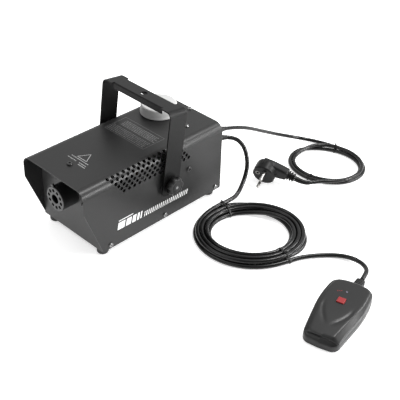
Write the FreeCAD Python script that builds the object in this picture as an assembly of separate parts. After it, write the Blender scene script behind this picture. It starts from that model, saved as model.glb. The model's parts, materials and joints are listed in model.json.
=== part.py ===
"""Small fog machine with a hanging bracket, a mains lead and a wired hand remote.

Millimetres. +Z is up, the front with the fog nozzle looks along -Y, and z = 0 is the surface that the
rubber feet stand on. The origin is the middle of the machine's footprint.
"""
import FreeCAD, Part
import math
import os

os.makedirs("parts", exist_ok=True)

V = FreeCAD.Vector
X, Y, Z = V(1, 0, 0), V(0, 1, 0), V(0, 0, 1)

# ---- driving dimensions ---------------------------------------------------------------------
SHEET = 1.0  # steel sheet of the hood and the chassis
WIDTH = 133.4  # hood, outside
LENGTH = 240.0  # chassis, front panel to rear panel
FOOT_HEIGHT = 10.5
TOP = 125.2  # top of the hood
BEND = 14.0  # outer radius of the hood's two long bends
OVERHANG = 29.5  # how far the hood reaches past the front panel
KNEE = 89.2  # height where the hood's front edge turns back to the tray
LAP = 13.5  # height where the hood's slanted edge meets the front panel
FIT = 0.1  # gap between parts that slip into each other
CLEAR = 0.3  # gap between curved faces of moving parts

HALF = WIDTH / 2
REAR = LENGTH / 2
FRONT = -REAR
INSIDE = HALF - SHEET - FIT  # half width of the chassis
CEILING = TOP - SHEET  # underside of the hood's top
TRAY = FOOT_HEIGHT + SHEET  # upper face of the chassis floor

NOZZLE_Z = 82.5
NOZZLE_R = 18.5
NOZZLE_REACH = 27.5
OUTLET_R = 7.2
JET_RING = 13.4
JET_R = 2.7
JET_TURN = 28.0  # angle of the first of the ten small holes

CAP_X, CAP_Y = -26.0, 75.0
CAP_R = 28.0
CAP_TOP = 141.5
NECK_R = 21.0
TANK_HALF_X, TANK_HALF_Y = 32.0, 33.0
TANK_FLOOR, TANK_TOP = 15.5, 95.0
TANK_WALL = 2.0
TANK_CORNER = 4.0

PIVOT_Y, PIVOT_Z = 7.0, 71.5
LEAN = 7.3  # degrees that the bracket leans back at rest
REACH = 117.0  # pivot to the top of the crossbar
STRIP = 32.0  # width of the bracket's strip
STRIP_T = 2.0
LEG_X = 71.0  # inner face of each bracket leg
STUD_R = 3.0
HANG_R = 5.25  # hanging hole
KNOB_R = 15.0

MAINS_D = 6.2
REMOTE_D = 6.8
GLAND_X = 46.0
MAINS_Z, REMOTE_Z = 101.5, 86.5


# ---- small helpers --------------------------------------------------------------------------
def save(name, shape):
    """Write one node. A node of several solids is saved as a compound."""
    shape = shape.removeSplitter() if shape.ShapeType != "Compound" else shape
    assert shape.isValid(), name
    shape.exportStep(f"parts/{name}.step")


def group(shapes):
    return Part.Compound(list(shapes))


def box(x, y, z):
    """Box between the two ends given along each axis."""
    return Part.makeBox(x[1] - x[0], y[1] - y[0], z[1] - z[0], V(x[0], y[0], z[0]))


def rod(start, axis, radius, length):
    return Part.makeCylinder(radius, length, start, axis)


def ring(start, axis, outer, inner, length):
    return rod(start, axis, outer, length).cut(rod(start, axis, inner, length))


def prism(points, along):
    """Closed outline given as vectors, pushed along a vector."""
    return Part.Face(Part.makePolygon(points + points[:1])).extrude(along)


def edges_along(shape, axis, test=lambda p: True):
    """Straight edges of a shape that run along an axis and whose middle passes a test."""
    found = []
    for edge in shape.Edges:
        if edge.Curve.TypeId != "Part::GeomLine":
            continue
        if edge.tangentAt(edge.FirstParameter).cross(axis).Length < 1e-6 and test(edge.CenterOfMass):
            found.append(edge)
    return found


def rounded_box(x, y, z, radius, axis=Z):
    block = box(x, y, z)
    return block.makeFillet(radius, edges_along(block, axis))


def corner_arc(before, at, after, radius):
    """Arc of a radius that touches both runs at a corner, with its two end points."""
    back = (before - at).normalize()
    ahead = (after - at).normalize()
    half_turn = (math.pi - back.getAngle(ahead)) / 2
    cut = radius * math.tan(half_turn)
    bisector = (back + ahead).normalize()
    start, end = at + back * cut, at + ahead * cut
    middle = at + bisector * (radius / math.cos(half_turn) - radius)
    return start, end, Part.Arc(start, middle, end).toShape()


def rounded_outline(points, radii):
    """Closed wire of straight sides joined by tangent arcs, one radius per corner."""
    count = len(points)
    arcs = [
        corner_arc(points[i - 1], points[i], points[(i + 1) % count], radii[i]) for i in range(count)
    ]
    edges = []
    for i in range(count):
        edges.append(arcs[i][2])
        edges.append(Part.LineSegment(arcs[i][1], arcs[(i + 1) % count][0]).toShape())
    return Part.Wire(edges)


def cord_tube(name, route, diameter):
    """Round tube along straight runs joined by the largest tangent arcs that the runs allow."""
    points = [V(*p) for p in route]
    edges = []
    radii = []
    last = points[0]
    for before, at, after in zip(points, points[1:], points[2:]):
        half_turn = (math.pi - (before - at).getAngle(after - at)) / 2
        radius = 0.45 * min((before - at).Length, (after - at).Length) / math.tan(half_turn)
        start, end, arc = corner_arc(before, at, after, radius)
        edges += [Part.LineSegment(last, start).toShape(), arc]
        radii.append(round(radius))
        last = end
    edges.append(Part.LineSegment(last, points[-1]).toShape())
    path = Part.Wire(edges)
    profile = Part.Wire(Part.makeCircle(diameter / 2, points[0], points[1] - points[0]))
    tube = path.makePipeShell([profile], True, False)
    expected = math.pi * diameter**2 / 4 * path.Length
    print(f"{name}: {path.Length:.0f} mm, radii {radii}, volume {tube.Volume / expected:.3f} of section x length")
    return tube


def coil_ring(centre, outer, inner, turned, height):
    """Closed outer shape of a hank lying flat: an oval ring, its long axis turned from X."""
    solids = []
    for semi in (outer, inner):
        oval = Part.Ellipse(V(0, 0, 0), max(semi), min(semi)).toShape()
        solids.append(Part.Face(Part.Wire(oval)).extrude(V(0, 0, height)))
    hank = solids[0].cut(solids[1])
    hank.rotate(V(0, 0, 0), Z, turned)
    hank.translate(V(*centre))
    return hank


def screw(at, out, head_r, head_h, shank_r, length, slot=True):
    """Button-head screw: `at` is on the clamped face and `out` points out of it."""
    head = rod(at, out, head_r, head_h)
    head = head.makeFillet(head_h * 0.6, [e for e in head.Edges if (e.CenterOfMass - at).Length > head_h / 2
                                          and e.Curve.TypeId == "Part::GeomCircle"])
    body = head.fuse(rod(at, out * -1, shank_r, length))
    if slot:
        recess = rod(at + out * (head_h * 0.45), out, head_r * 0.42, head_h)
        body = body.cut(recess)
    return body


def mirrored(shape):
    return shape.mirror(V(0, 0, 0), X)


# ---- fasteners of the hood and the panels ---------------------------------------------------
SILVER = dict(head_r=3.4, head_h=2.0, shank_r=1.5, length=6.0)
BLACK = dict(head_r=4.2, head_h=2.4, shank_r=1.5, length=7.0)
SIDE_SCREW_Z = 16.5
SIDE_SCREW_Y = (-105.0, 1.0, 109.0)
SIDE_SCREWS = [(V(s * HALF, y, SIDE_SCREW_Z), X * s) for s in (-1, 1) for y in SIDE_SCREW_Y]
TOP_REAR_SCREW = (V(0, REAR - 4, TOP), Z)
TOP_FRONT_SCREW = (V(-3, FRONT + 4, TOP), Z)
TOP_SIDE_SCREW = (V(33.5, 76.0, TOP), Z)
PUMP_SCREW = (V(HALF, 49.0, 76.5), X)
HEATER_SCREWS = [(V(s * 26.0, FRONT, 73.5), Y * -1) for s in (-1, 1)]


def shank_holes(places, shank_r, length):
    return group(rod(at + out * 1.0, out * -1, shank_r + FIT, length + 2.0) for at, out in places)


# ---- hood -----------------------------------------------------------------------------------
VENT_R = 2.7
VENT_PITCH = 9.7
VENTS_PER_ROW = 14
VENT_ROWS = [  # first hole along Y, angle on the bend above the side, or height on the flat side
    (-101.3, 61.0, None),
    (-96.5, 37.7, None),
    (-91.6, 14.3, None),
    (-87.0, None, 109.0),
    (-82.0, None, 103.3),
    (-77.5, None, 97.6),
]
HOOD_SCREWS = SIDE_SCREWS + [TOP_REAR_SCREW, TOP_FRONT_SCREW, TOP_SIDE_SCREW, PUMP_SCREW]
NUT_R = 4.4
NECK_HOLE_R = 25.0


def arch(half, top, radius, y0, y1):
    """Solid with the hood's inverted U outline."""
    block = box((-half, half), (y0, y1), (FOOT_HEIGHT, top))
    return block.makeFillet(radius, edges_along(block, Y, lambda p: p.z > top - 1))


def vent_drill(side, y, angle, height):
    if angle is None:
        return rod(V(side * (HALF - 4), y, height), X * side, VENT_R, 8)
    out = V(side * math.cos(math.radians(angle)), 0, math.sin(math.radians(angle)))
    centre = V(side * (HALF - BEND), y, TOP - BEND)
    return rod(centre + out * (BEND - 5), out, VENT_R, 8)


def hood_cover():
    shell = arch(HALF, TOP, BEND, FRONT - OVERHANG, REAR)
    shell = shell.cut(arch(HALF - SHEET, CEILING, BEND - SHEET, FRONT - OVERHANG, REAR))
    slant = [
        V(-HALF - 1, FRONT - OVERHANG - 1, KNEE),
        V(-HALF - 1, FRONT - OVERHANG, KNEE),
        V(-HALF - 1, FRONT, LAP),
        V(-HALF - 1, FRONT, 0),
        V(-HALF - 1, FRONT - OVERHANG - 1, 0),
    ]
    shell = shell.cut(prism(slant, X * (WIDTH + 2)))
    rear_corners = edges_along(shell, X, lambda p: p.y > REAR - 0.1 and p.z < FOOT_HEIGHT + 0.1)
    shell = shell.makeFillet(3.0, rear_corners)
    drills = [
        vent_drill(side, first + i * VENT_PITCH, angle, height)
        for side in (-1, 1)
        for first, angle, height in VENT_ROWS
        for i in range(VENTS_PER_ROW)
    ]
    drills.append(rod(V(CAP_X, CAP_Y, CEILING - 1), Z, NECK_HOLE_R, 4))
    drills += [rod(V(s * (HALF - 3), PIVOT_Y, PIVOT_Z), X * s, NUT_R + FIT, 6) for s in (-1, 1)]
    shell = shell.cut(group(drills))
    return shell.cut(shank_holes(HOOD_SCREWS, 1.5, 7.0))


# ---- chassis --------------------------------------------------------------------------------
FLANGE = 14.0
GLAND_R = 5.5


def chassis():
    """Floor, front panel and rear panel bent from one sheet, with flanges that take the screws."""
    floor = box((-INSIDE, INSIDE), (FRONT, REAR), (FOOT_HEIGHT, TRAY))
    wall_top = CEILING - FIT
    panel = arch(INSIDE, wall_top, BEND - SHEET, FRONT, FRONT + SHEET)
    body = floor.fuse(panel).fuse(panel.translated(V(0, LENGTH - SHEET, 0)))
    for y0 in (FRONT, REAR - FLANGE):
        body = body.fuse(box((-45, 45), (y0, y0 + FLANGE), (wall_top - SHEET, wall_top)))
    for side in (-1, 1):
        x = sorted((side * INSIDE, side * (INSIDE - SHEET)))
        body = body.fuse(box(x, (FRONT + SHEET, REAR - SHEET), (FOOT_HEIGHT, TRAY + FLANGE)))
    holes = [
        rod(V(0, FRONT - 1, NOZZLE_Z), Y, 9.0, 4),
        rod(V(GLAND_X, REAR - 3, MAINS_Z), Y, GLAND_R, 5),
        rod(V(GLAND_X, REAR - 3, REMOTE_Z), Y, GLAND_R, 5),
    ]
    holes += [rod(V(x, y, 0), Z, 2.1, 12) for x, y in FEET.values()]
    body = body.cut(group(holes))
    places = SIDE_SCREWS + [TOP_REAR_SCREW, TOP_FRONT_SCREW] + HEATER_SCREWS
    return body.cut(shank_holes(places, 1.5, 7.0)).removeSplitter()


FEET = {
    "front_left": (-54.0, -110.0),
    "front_right": (54.0, -110.0),
    "rear_left": (-54.0, 105.0),
    "rear_right": (54.0, 105.0),
}


def foot(x, y):
    """Domed rubber foot with a recess for its screw."""
    pad = rod(V(x, y, 0), Z, 8.8, FOOT_HEIGHT)
    rim = [e for e in pad.Edges if e.Curve.TypeId == "Part::GeomCircle" and e.CenterOfMass.z < 0.1]
    pad = pad.makeFillet(3.5, rim)
    return pad.cut(rod(V(x, y, -1), Z, 3.6, 3.5)).cut(rod(V(x, y, 0), Z, 2.1, 12))


def foot_screw(x, y):
    """Pan-head screw up through the foot, with its nut on the chassis floor."""
    bolt = rod(V(x, y, 0.7), Z, 3.4, 1.8).fuse(rod(V(x, y, 1), Z, 2.0, 12.5))
    nut = rod(V(x, y, TRAY), Z, 3.9, 3.0)
    return bolt.fuse(nut)


# ---- fog nozzle -----------------------------------------------------------------------------
def nozzle_shroud():
    """Heat guard round the nozzle: a drilled face on a short can."""
    face_y = FRONT - NOZZLE_REACH
    can = rod(V(0, face_y, NOZZLE_Z), Y, NOZZLE_R, NOZZLE_REACH)
    front_edge = [e for e in can.Edges if e.Curve.TypeId == "Part::GeomCircle" and e.CenterOfMass.y < face_y + 1]
    can = can.makeFillet(0.8, front_edge)
    can = can.cut(rod(V(0, face_y + 1.6, NOZZLE_Z), Y, NOZZLE_R - 1.6, NOZZLE_REACH))
    holes = [rod(V(0, face_y - 1, NOZZLE_Z), Y, OUTLET_R, 6)]
    for i in range(10):
        turn = math.radians(JET_TURN + 36 * i)
        at = V(JET_RING * math.cos(turn), face_y - 1, NOZZLE_Z + JET_RING * math.sin(turn))
        holes.append(rod(at, Y, JET_R, 6))
    can = can.cut(group(holes))
    lip = ring(V(0, FRONT - 1.2, NOZZLE_Z), Y, NOZZLE_R, NOZZLE_R - 6, 1.2)
    lug_turn = math.radians(105)
    lug_r = NOZZLE_R + 1.4
    lug_at = V(lug_r * math.cos(lug_turn), face_y + 0.4, NOZZLE_Z + lug_r * math.sin(lug_turn))
    lug = rod(lug_at, Y, 2.6, 3.0).cut(rod(lug_at, Y, 1.0, 3.0)).cut(rod(V(0, face_y, NOZZLE_Z), Y, NOZZLE_R - 1, 8))
    return can.fuse(lip).fuse(lug).removeSplitter()


def steam_nozzle():
    """Brass jet that screws into the heater and ends inside the shroud."""
    rear = HEATER_FRONT
    stem = rod(V(0, FRONT - 10, NOZZLE_Z), Y, 4.5, rear - FRONT + 10 + 8)
    hexagon = [V(8 * math.cos(math.radians(60 * i)), rear - 6, NOZZLE_Z + 8 * math.sin(math.radians(60 * i)))
               for i in range(6)]
    stem = stem.fuse(prism(hexagon, V(0, 6, 0)))
    tip = Part.makeCone(2.2, 4.5, 5, V(0, FRONT - 15, NOZZLE_Z), Y)
    return stem.fuse(tip).cut(rod(V(0, FRONT - 16, NOZZLE_Z), Y, 0.9, 60)).removeSplitter()


# ---- heater ---------------------------------------------------------------------------------
HEATER_FRONT = -95.0
HEATER_REAR = -5.0
HEATER_HALF = 24.0
HEATER_LOW, HEATER_HIGH = 64.5, 100.5
HEATER_BOLTS = [(x, y) for x in (-19.0, 19.0) for y in (-86.0, -50.0, -14.0)]
ELEMENT_R = 4.0


def heater_half(z0, z1):
    block = rounded_box((-HEATER_HALF, HEATER_HALF), (HEATER_FRONT, HEATER_REAR), (z0, z1), 3.0)
    channels = [
        rod(V(0, HEATER_FRONT, NOZZLE_Z), Y, 4.5 + FIT, 8),
        rod(V(0, HEATER_FRONT, NOZZLE_Z), Y, 3.0, 75),
        rod(V(0, -20, NOZZLE_Z), X, 3.0, 20),
        rod(V(HEATER_HALF, -20, NOZZLE_Z), X * -1, 4.0 + FIT, 6),
    ]
    channels += [rod(V(x, HEATER_FRONT + 10, NOZZLE_Z), Y, ELEMENT_R + FIT, 90) for x in (-11.0, 11.0)]
    channels += [rod(V(x, y, HEATER_LOW - 1), Z, 2.1, 40) for x, y in HEATER_BOLTS]
    return block.cut(group(channels))


def heater_bolts():
    length = HEATER_HIGH - HEATER_LOW
    bolts = [
        rod(V(x, y, HEATER_LOW - 6), Z, 2.0, length + 6).fuse(rod(V(x, y, HEATER_HIGH), Z, 3.5, 3.0))
        for x, y in HEATER_BOLTS
    ]
    return group(bolts)


def heating_element():
    """Two cartridge elements that lie between the halves, joined by a terminal plate at the rear."""
    rods = [rod(V(x, HEATER_FRONT + 11, NOZZLE_Z), Y, ELEMENT_R, 84) for x in (-11.0, 11.0)]
    plate = box((-18, 18), (HEATER_REAR + 5, HEATER_REAR + 7), (NOZZLE_Z - 6, NOZZLE_Z + 6))
    sleeves = [rod(V(x, HEATER_REAR - 2, NOZZLE_Z), Y, 3.0, 8) for x in (-11.0, 11.0)]
    body = plate
    for piece in rods + sleeves:
        body = body.fuse(piece)
    return body.removeSplitter()


def heater_bracket():
    """Folded saddle that carries the heater above the chassis floor."""
    saddle = box((-30, 30), (-92, -8), (HEATER_LOW - 1.5, HEATER_LOW))
    for side in (-1, 1):
        leg = sorted((side * 30, side * 28.5))
        saddle = saddle.fuse(box(leg, (-92, -8), (TRAY, HEATER_LOW)))
        toe = sorted((side * 30, side * 42))
        saddle = saddle.fuse(box(toe, (-92, -8), (TRAY, TRAY + 1.5)))
        saddle = saddle.cut(rod(V(side * 40, -50, 34), X * -side, 14, 20))
    slots = [rod(V(x, y, HEATER_LOW - 4), Z, 2.1, 8) for x, y in HEATER_BOLTS]
    return saddle.cut(group(slots)).removeSplitter()


def thermostat():
    """Disc thermostat on the heater's left side, with its clip and two blades."""
    at = V(-HEATER_HALF, -60, NOZZLE_Z)
    disc = rod(at, X * -1, 8.0, 9.0)
    clip = box((-HEATER_HALF - 1.2, -HEATER_HALF), (-74, -46), (NOZZLE_Z - 4, NOZZLE_Z + 4))
    blades = [box((-40, -33), (y, y + 1), (NOZZLE_Z - 3, NOZZLE_Z + 3)) for y in (-65.0, -56.0)]
    return disc.fuse(clip).fuse(blades[0]).fuse(blades[1]).removeSplitter()


def thermal_fuse():
    body = rod(V(-HEATER_HALF - 3, -38, 92), Y, 3.0, 16)
    leads = rod(V(-HEATER_HALF - 3, -44, 92), Y, 0.8, 28)
    return body.fuse(leads).removeSplitter()


def heater_insulation():
    """Fibre mat between the heater's bolt heads and the hood."""
    return rounded_box((-30, 30), (-98, -2), (104.5, 116.5), 4.0)


# ---- pump -----------------------------------------------------------------------------------
PUMP_X, PUMP_Z = 38.0, 37.5
PUMP_FRONT, PUMP_REAR = 2.0, 72.0
PISTON_R = 3.5


def pump_body():
    """Vibration pump: stepped tube with an inlet and an outlet barb and a bore for the piston."""
    def along(y, radius, length):
        return rod(V(PUMP_X, y, PUMP_Z), Y, radius, length)

    body = along(PUMP_FRONT + 8, 8.5, 54).fuse(along(PUMP_FRONT + 4, 10.5, 12))
    body = body.fuse(along(PUMP_FRONT, 3.0, 70)).fuse(along(PUMP_REAR - 14, 6.0, 6))
    body = body.cut(along(PUMP_FRONT + 18, PISTON_R + 0.08, 36))
    return body.cut(along(PUMP_FRONT - 1, 1.5, 72)).removeSplitter()


def pump_piston():
    return ring(V(PUMP_X, PUMP_FRONT + 22, PUMP_Z), Y, PISTON_R, 1.5, 26)


def pump_coil():
    """Coil bobbin in its square steel yoke, pushed over the pump tube."""
    yoke = rounded_box((PUMP_X - 16, PUMP_X + 16), (PUMP_FRONT + 20, PUMP_FRONT + 56),
                       (PUMP_Z - 16, PUMP_Z + 16), 3.0, Y)
    return yoke.cut(rod(V(PUMP_X, 0, PUMP_Z), Y, 8.5 + FIT, 90))


def pump_bracket():
    """Cradle under the coil with a tall tab that the hood's side screw holds."""
    low = PUMP_Z - 16 - 1.5
    cradle = box((PUMP_X - 16, PUMP_X + 16), (PUMP_FRONT + 20, PUMP_FRONT + 56), (low, PUMP_Z - 16))
    cradle = cradle.fuse(box((PUMP_X - 16, PUMP_X - 14.5), (26, 54), (TRAY, low)))
    cradle = cradle.fuse(box((PUMP_X + 14.5, PUMP_X + 16), (26, 54), (TRAY, low)))
    tab = box((INSIDE - SHEET - 1.5, INSIDE - SHEET), (43, 55), (low, 83)).fuse(
        box((PUMP_X + 14, INSIDE - SHEET), (43, 55), (low, low + 1.5)))
    bracket = cradle.fuse(tab)
    return bracket.cut(shank_holes([PUMP_SCREW], 1.5, 7.0)).removeSplitter()


# ---- tank -----------------------------------------------------------------------------------
SPOUT_Y, SPOUT_Z = 88.0, 27.5


def tank_block(inset):
    x = (CAP_X - TANK_HALF_X + inset, CAP_X + TANK_HALF_X - inset)
    y = (CAP_Y - TANK_HALF_Y + inset, CAP_Y + TANK_HALF_Y - inset)
    block = box(x, y, (TANK_FLOOR + inset, TANK_TOP - inset))
    return block.makeFillet(TANK_CORNER - inset, block.Edges)


def fluid_tank():
    """Blow-moulded tank with a wide threaded neck and a spout at the foot of its right side."""
    right = CAP_X + TANK_HALF_X
    body = tank_block(0)
    body = body.fuse(rod(V(CAP_X, CAP_Y, TANK_TOP - 3), Z, NECK_R, CAP_TOP - 5 - TANK_TOP + 3))
    body = body.fuse(rod(V(right - 3, SPOUT_Y, SPOUT_Z), X, 4.0, 10))
    for z in (TOP + 3, TOP + 7.5):
        body = body.fuse(ring(V(CAP_X, CAP_Y, z), Z, NECK_R + 1.0, NECK_R - 1, 1.4))
    body = body.cut(tank_block(TANK_WALL))
    body = body.cut(rod(V(CAP_X, CAP_Y, TANK_TOP - 8), Z, NECK_R - TANK_WALL, 60))
    return body.cut(rod(V(right - 6, SPOUT_Y, SPOUT_Z), X, 2.0, 20)).removeSplitter()


def tank_filter():
    """Mesh strainer pushed into the spout from inside the tank."""
    right = CAP_X + TANK_HALF_X - TANK_WALL
    return rod(V(right - 14, SPOUT_Y, SPOUT_Z), X, 5.0, 14)


def tank_bracket():
    """Folded shelf under the tank, with a stop that keeps the tank against the rear panel."""
    front = CAP_Y - TANK_HALF_Y
    x = (CAP_X - 28, CAP_X + 28)
    shelf = box(x, (front - 1.5, front + 50), (TANK_FLOOR - 1.5, TANK_FLOOR))
    for y in (front - 1.5, front + 48.5):
        shelf = shelf.fuse(box(x, (y, y + 1.5), (TRAY, TANK_FLOOR)))
    stop = box(x, (front - 1.5, front), (TANK_FLOOR, 64))
    return shelf.fuse(stop).removeSplitter()


def tank_cap():
    """Screw cap: a cup with a raised rim at its foot."""
    low = TOP + 1.0
    cup = rod(V(CAP_X, CAP_Y, low), Z, CAP_R, CAP_TOP - low)
    top_edge = [e for e in cup.Edges if e.Curve.TypeId == "Part::GeomCircle" and e.CenterOfMass.z > CAP_TOP - 1]
    cup = cup.makeFillet(2.5, top_edge)
    cup = cup.fuse(rod(V(CAP_X, CAP_Y, low), Z, CAP_R + 0.8, 2.2))
    return cup.cut(rod(V(CAP_X, CAP_Y, low - 1), Z, NECK_R + 1.0 + CLEAR, CAP_TOP - 3 - low + 1)).removeSplitter()


def cap_liner():
    return rod(V(CAP_X, CAP_Y, CAP_TOP - 5), Z, NECK_R + 0.9, 2.0 - 0.05)


# ---- hoses and wires ------------------------------------------------------------------------
HOSE_D = 5.0
SPOUT_END = CAP_X + TANK_HALF_X + 7
SUCTION = [
    (SPOUT_END, SPOUT_Y, SPOUT_Z),
    (SPOUT_END + 8, SPOUT_Y, SPOUT_Z),
    (PUMP_X - 7, SPOUT_Y - 1, PUMP_Z - 4),
    (PUMP_X, SPOUT_Y - 7, PUMP_Z),
    (PUMP_X, PUMP_REAR, PUMP_Z),
]
DELIVERY = [
    (PUMP_X, PUMP_FRONT, PUMP_Z),
    (PUMP_X, PUMP_FRONT - 16, PUMP_Z),
    (PUMP_X + 9, PUMP_FRONT - 26, PUMP_Z + 18),
    (PUMP_X + 9, PUMP_FRONT - 23, NOZZLE_Z - 6),
    (PUMP_X, PUMP_FRONT - 22, NOZZLE_Z),
    (HEATER_HALF + 8, PUMP_FRONT - 22, NOZZLE_Z),
]
WIRE_D = 2.4
BLOCK_TOP = 40.0
WIRES = {
    "live": [(GLAND_X, REAR - 12, MAINS_Z), (GLAND_X, REAR - 26, MAINS_Z), (GLAND_X + 10, REAR - 25, 66),
             (GLAND_X + 5, REAR - 7, 52), (GLAND_X + 5, REAR - 7, BLOCK_TOP)],
    "signal": [(GLAND_X, REAR - 12, REMOTE_Z), (GLAND_X, REAR - 22, REMOTE_Z), (GLAND_X - 6, REAR - 22, 64),
               (GLAND_X - 9, REAR - 7, 50), (GLAND_X - 9, REAR - 7, BLOCK_TOP)],
}


def heater_inlet():
    """Brass elbow fitting in the heater's right side."""
    return ring(V(HEATER_HALF - 5, -20, NOZZLE_Z), X, 4.0, 1.5, 13)


def terminal_block():
    """Four-way screw terminal on the inside of the rear panel."""
    block = box((30, 58), (REAR - 12, REAR - SHEET), (22, BLOCK_TOP))
    for i in range(4):
        block = block.cut(rod(V(33.5 + 7 * i, REAR - 13, BLOCK_TOP - 7), Y, 2.2, 8))
    return block


# ---- glands ---------------------------------------------------------------------------------
def gland(z, bore):
    """Moulded bush snapped into the rear panel: outer collar, waist, inner collar."""
    bush = rod(V(GLAND_X, REAR - 4, z), Y, GLAND_R - 0.05, 6)
    bush = bush.fuse(rod(V(GLAND_X, REAR, z), Y, GLAND_R + 0.9, 3.0))
    bush = bush.fuse(rod(V(GLAND_X, REAR + 3, z), Y, GLAND_R - 0.6, 4.0))
    bush = bush.fuse(rod(V(GLAND_X, REAR - 12, z), Y, GLAND_R + 0.4, 11.0))
    return bush.cut(rod(V(GLAND_X, REAR + 1, z), Y, bore, 10)).removeSplitter()


# ---- bracket and knobs ----------------------------------------------------------------------
LIP_HALF = 50.5
LIP_DEPTH = 9.5
BEND_BRACKET = 9.0


def leaned(shape):
    """Turn a shape drawn upright about the pivot into the bracket's resting lean."""
    shape.rotate(V(0, PIVOT_Y, PIVOT_Z), X, -LEAN)
    return shape


def hanging_bracket():
    """U bracket of steel strip: legs with rounded ends, a crossbar with two turned-down lips."""
    outer = LEG_X + STRIP_T
    top = PIVOT_Z + REACH
    foot_z = PIVOT_Z - 17.0
    y0, y1 = PIVOT_Y - STRIP / 2, PIVOT_Y + STRIP / 2
    solid = box((-outer, outer), (y0, y1), (foot_z, top))
    solid = solid.makeFillet(BEND_BRACKET, edges_along(solid, Y, lambda p: p.z > top - 1))
    core = box((-LEG_X, LEG_X), (y0, y1), (foot_z, top - STRIP_T))
    core = core.makeFillet(BEND_BRACKET - STRIP_T, edges_along(core, Y, lambda p: p.z > top - 3))
    strip = solid.cut(core)
    strip = strip.makeFillet(6.0, edges_along(strip, X, lambda p: p.z < foot_z + 1))
    waist = 13.0 - STRIP_T
    for side in (-1, 1):
        edge = sorted((PIVOT_Y + side * waist, PIVOT_Y + side * (STRIP / 2 + 1)))
        strip = strip.cut(box((-LIP_HALF - 1.5, LIP_HALF + 1.5), edge, (top - 12, top + 1)))
        lip_y = sorted((PIVOT_Y + side * (waist + STRIP_T), PIVOT_Y + side * (waist - 0.01)))
        lip = box((-LIP_HALF, LIP_HALF), lip_y, (top - LIP_DEPTH, top))
        bend = edges_along(lip, X, lambda p: p.z > top - 0.1 and abs(p.y - PIVOT_Y) > waist + 1)
        lip = lip.makeFillet(STRIP_T * 0.9, bend)
        inner = sorted((PIVOT_Y + side * waist, PIVOT_Y + side * (waist - 1)))
        lip = lip.cut(box((-LIP_HALF, LIP_HALF), inner, (top - LIP_DEPTH - 1, top - STRIP_T)))
        strip = strip.fuse(lip)
    strip = strip.cut(rod(V(0, PIVOT_Y, top - 4), Z, HANG_R, 6))
    strip = strip.cut(rod(V(-outer - 1, PIVOT_Y, PIVOT_Z), X, STUD_R + 0.06, 2 * outer + 2))
    return leaned(strip.removeSplitter())


def knob():
    """Lobed hand knob on the right side: a boss against the leg and a grip with seven lobes."""
    face = LEG_X + STRIP_T + 0.1
    boss = rod(V(face, PIVOT_Y, PIVOT_Z), X, 10.0, 3.5)
    head = rod(V(face + 3.0, PIVOT_Y, PIVOT_Z), X, KNOB_R - 3.0, 8.4)
    lobes = 7
    for i in range(lobes):
        turn = 2 * math.pi * i / lobes
        at = V(face + 3.0, PIVOT_Y + (KNOB_R - 5.0) * math.cos(turn), PIVOT_Z + (KNOB_R - 5.0) * math.sin(turn))
        head = head.fuse(rod(at, X, 5.0, 8.4))
    for i in range(lobes):
        turn = 2 * math.pi * (i + 0.5) / lobes
        at = V(face + 2.0, PIVOT_Y + (KNOB_R + 0.2) * math.cos(turn), PIVOT_Z + (KNOB_R + 0.2) * math.sin(turn))
        head = head.cut(rod(at, X, 4.2, 12))
    crown = rod(V(face + 11.4, PIVOT_Y, PIVOT_Z), X, 8.0, 1.0)
    grip = boss.fuse(head.removeSplitter()).fuse(crown)
    socket = rod(V(face - 1, PIVOT_Y, PIVOT_Z), X, STUD_R, 9)
    return grip.cut(socket).removeSplitter()


def knob_stud():
    """M6 stud moulded into the knob, through the bracket and the washer into the rivet nut."""
    return rod(V(HALF - 8, PIVOT_Y, PIVOT_Z), X, STUD_R, LEG_X + STRIP_T + 0.1 + 8 - (HALF - 8))


def bracket_washers():
    """Friction washers between the hood and the bracket legs."""
    washer = ring(V(HALF, PIVOT_Y, PIVOT_Z), X, 10.0, STUD_R + 0.08, LEG_X - 0.1 - HALF)
    return group([washer, mirrored(washer)])


def rivet_nuts():
    nut = rod(V(HALF - 11, PIVOT_Y, PIVOT_Z), X, NUT_R, 11)
    flange = rod(V(HALF - SHEET - 1.5, PIVOT_Y, PIVOT_Z), X, 7.0, 1.5)
    nut = nut.fuse(flange).cut(rod(V(HALF - 12, PIVOT_Y, PIVOT_Z), X, STUD_R + 0.08, 14)).removeSplitter()
    return group([nut, mirrored(nut)])


# ---- remote ---------------------------------------------------------------------------------
REMOTE_AT = V(375.4, 20.2, 0)
REMOTE_TURN = 104.8  # degrees from +X to the end that the cord leaves
REMOTE_SEAM = 9.0
REMOTE_TOP = 24.0
REMOTE_WALL = 2.0
REMOTE_OUTLINE = [
    (65, 0), (58, 29.5), (18, 33.7), (-60, 24.5), (-62, 0), (-60, -24.5), (18, -33.7), (58, -29.5),
]
REMOTE_RADII = [60, 17, 240, 12, 90, 12, 240, 17]
REMOTE_POSTS = {(42, 21): 13.0, (42, -21): 13.0, (-42, 14): 9.4, (-42, -14): 9.4}  # height above the seam
BACK_ARC = [(80, 21.0), (10, 23.6), (-75, 14.5)]  # the top's gentle curve, along and up
STEP_U, STEP_Z = -55.0, 15.8
BUTTON_U, BUTTON_V = 13.0, 1.3
BUTTON_HALF = 5.5
BUTTON_TOP = 25.0
LED_U = 33.0
RELIEF_U, RELIEF_V = 64.3, -2.5
CORD_Z = 10.5


def placed(shape):
    """Move a shape drawn along +X at the origin to where the remote lies."""
    shape.rotate(V(0, 0, 0), Z, REMOTE_TURN)
    shape.translate(REMOTE_AT)
    return shape


def remote_profile(inset):
    wire = rounded_outline([V(u, v, 0) for u, v in REMOTE_OUTLINE], REMOTE_RADII)
    return Part.Face(wire) if not inset else Part.Face(wire).makeOffset2D(-inset)


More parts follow.
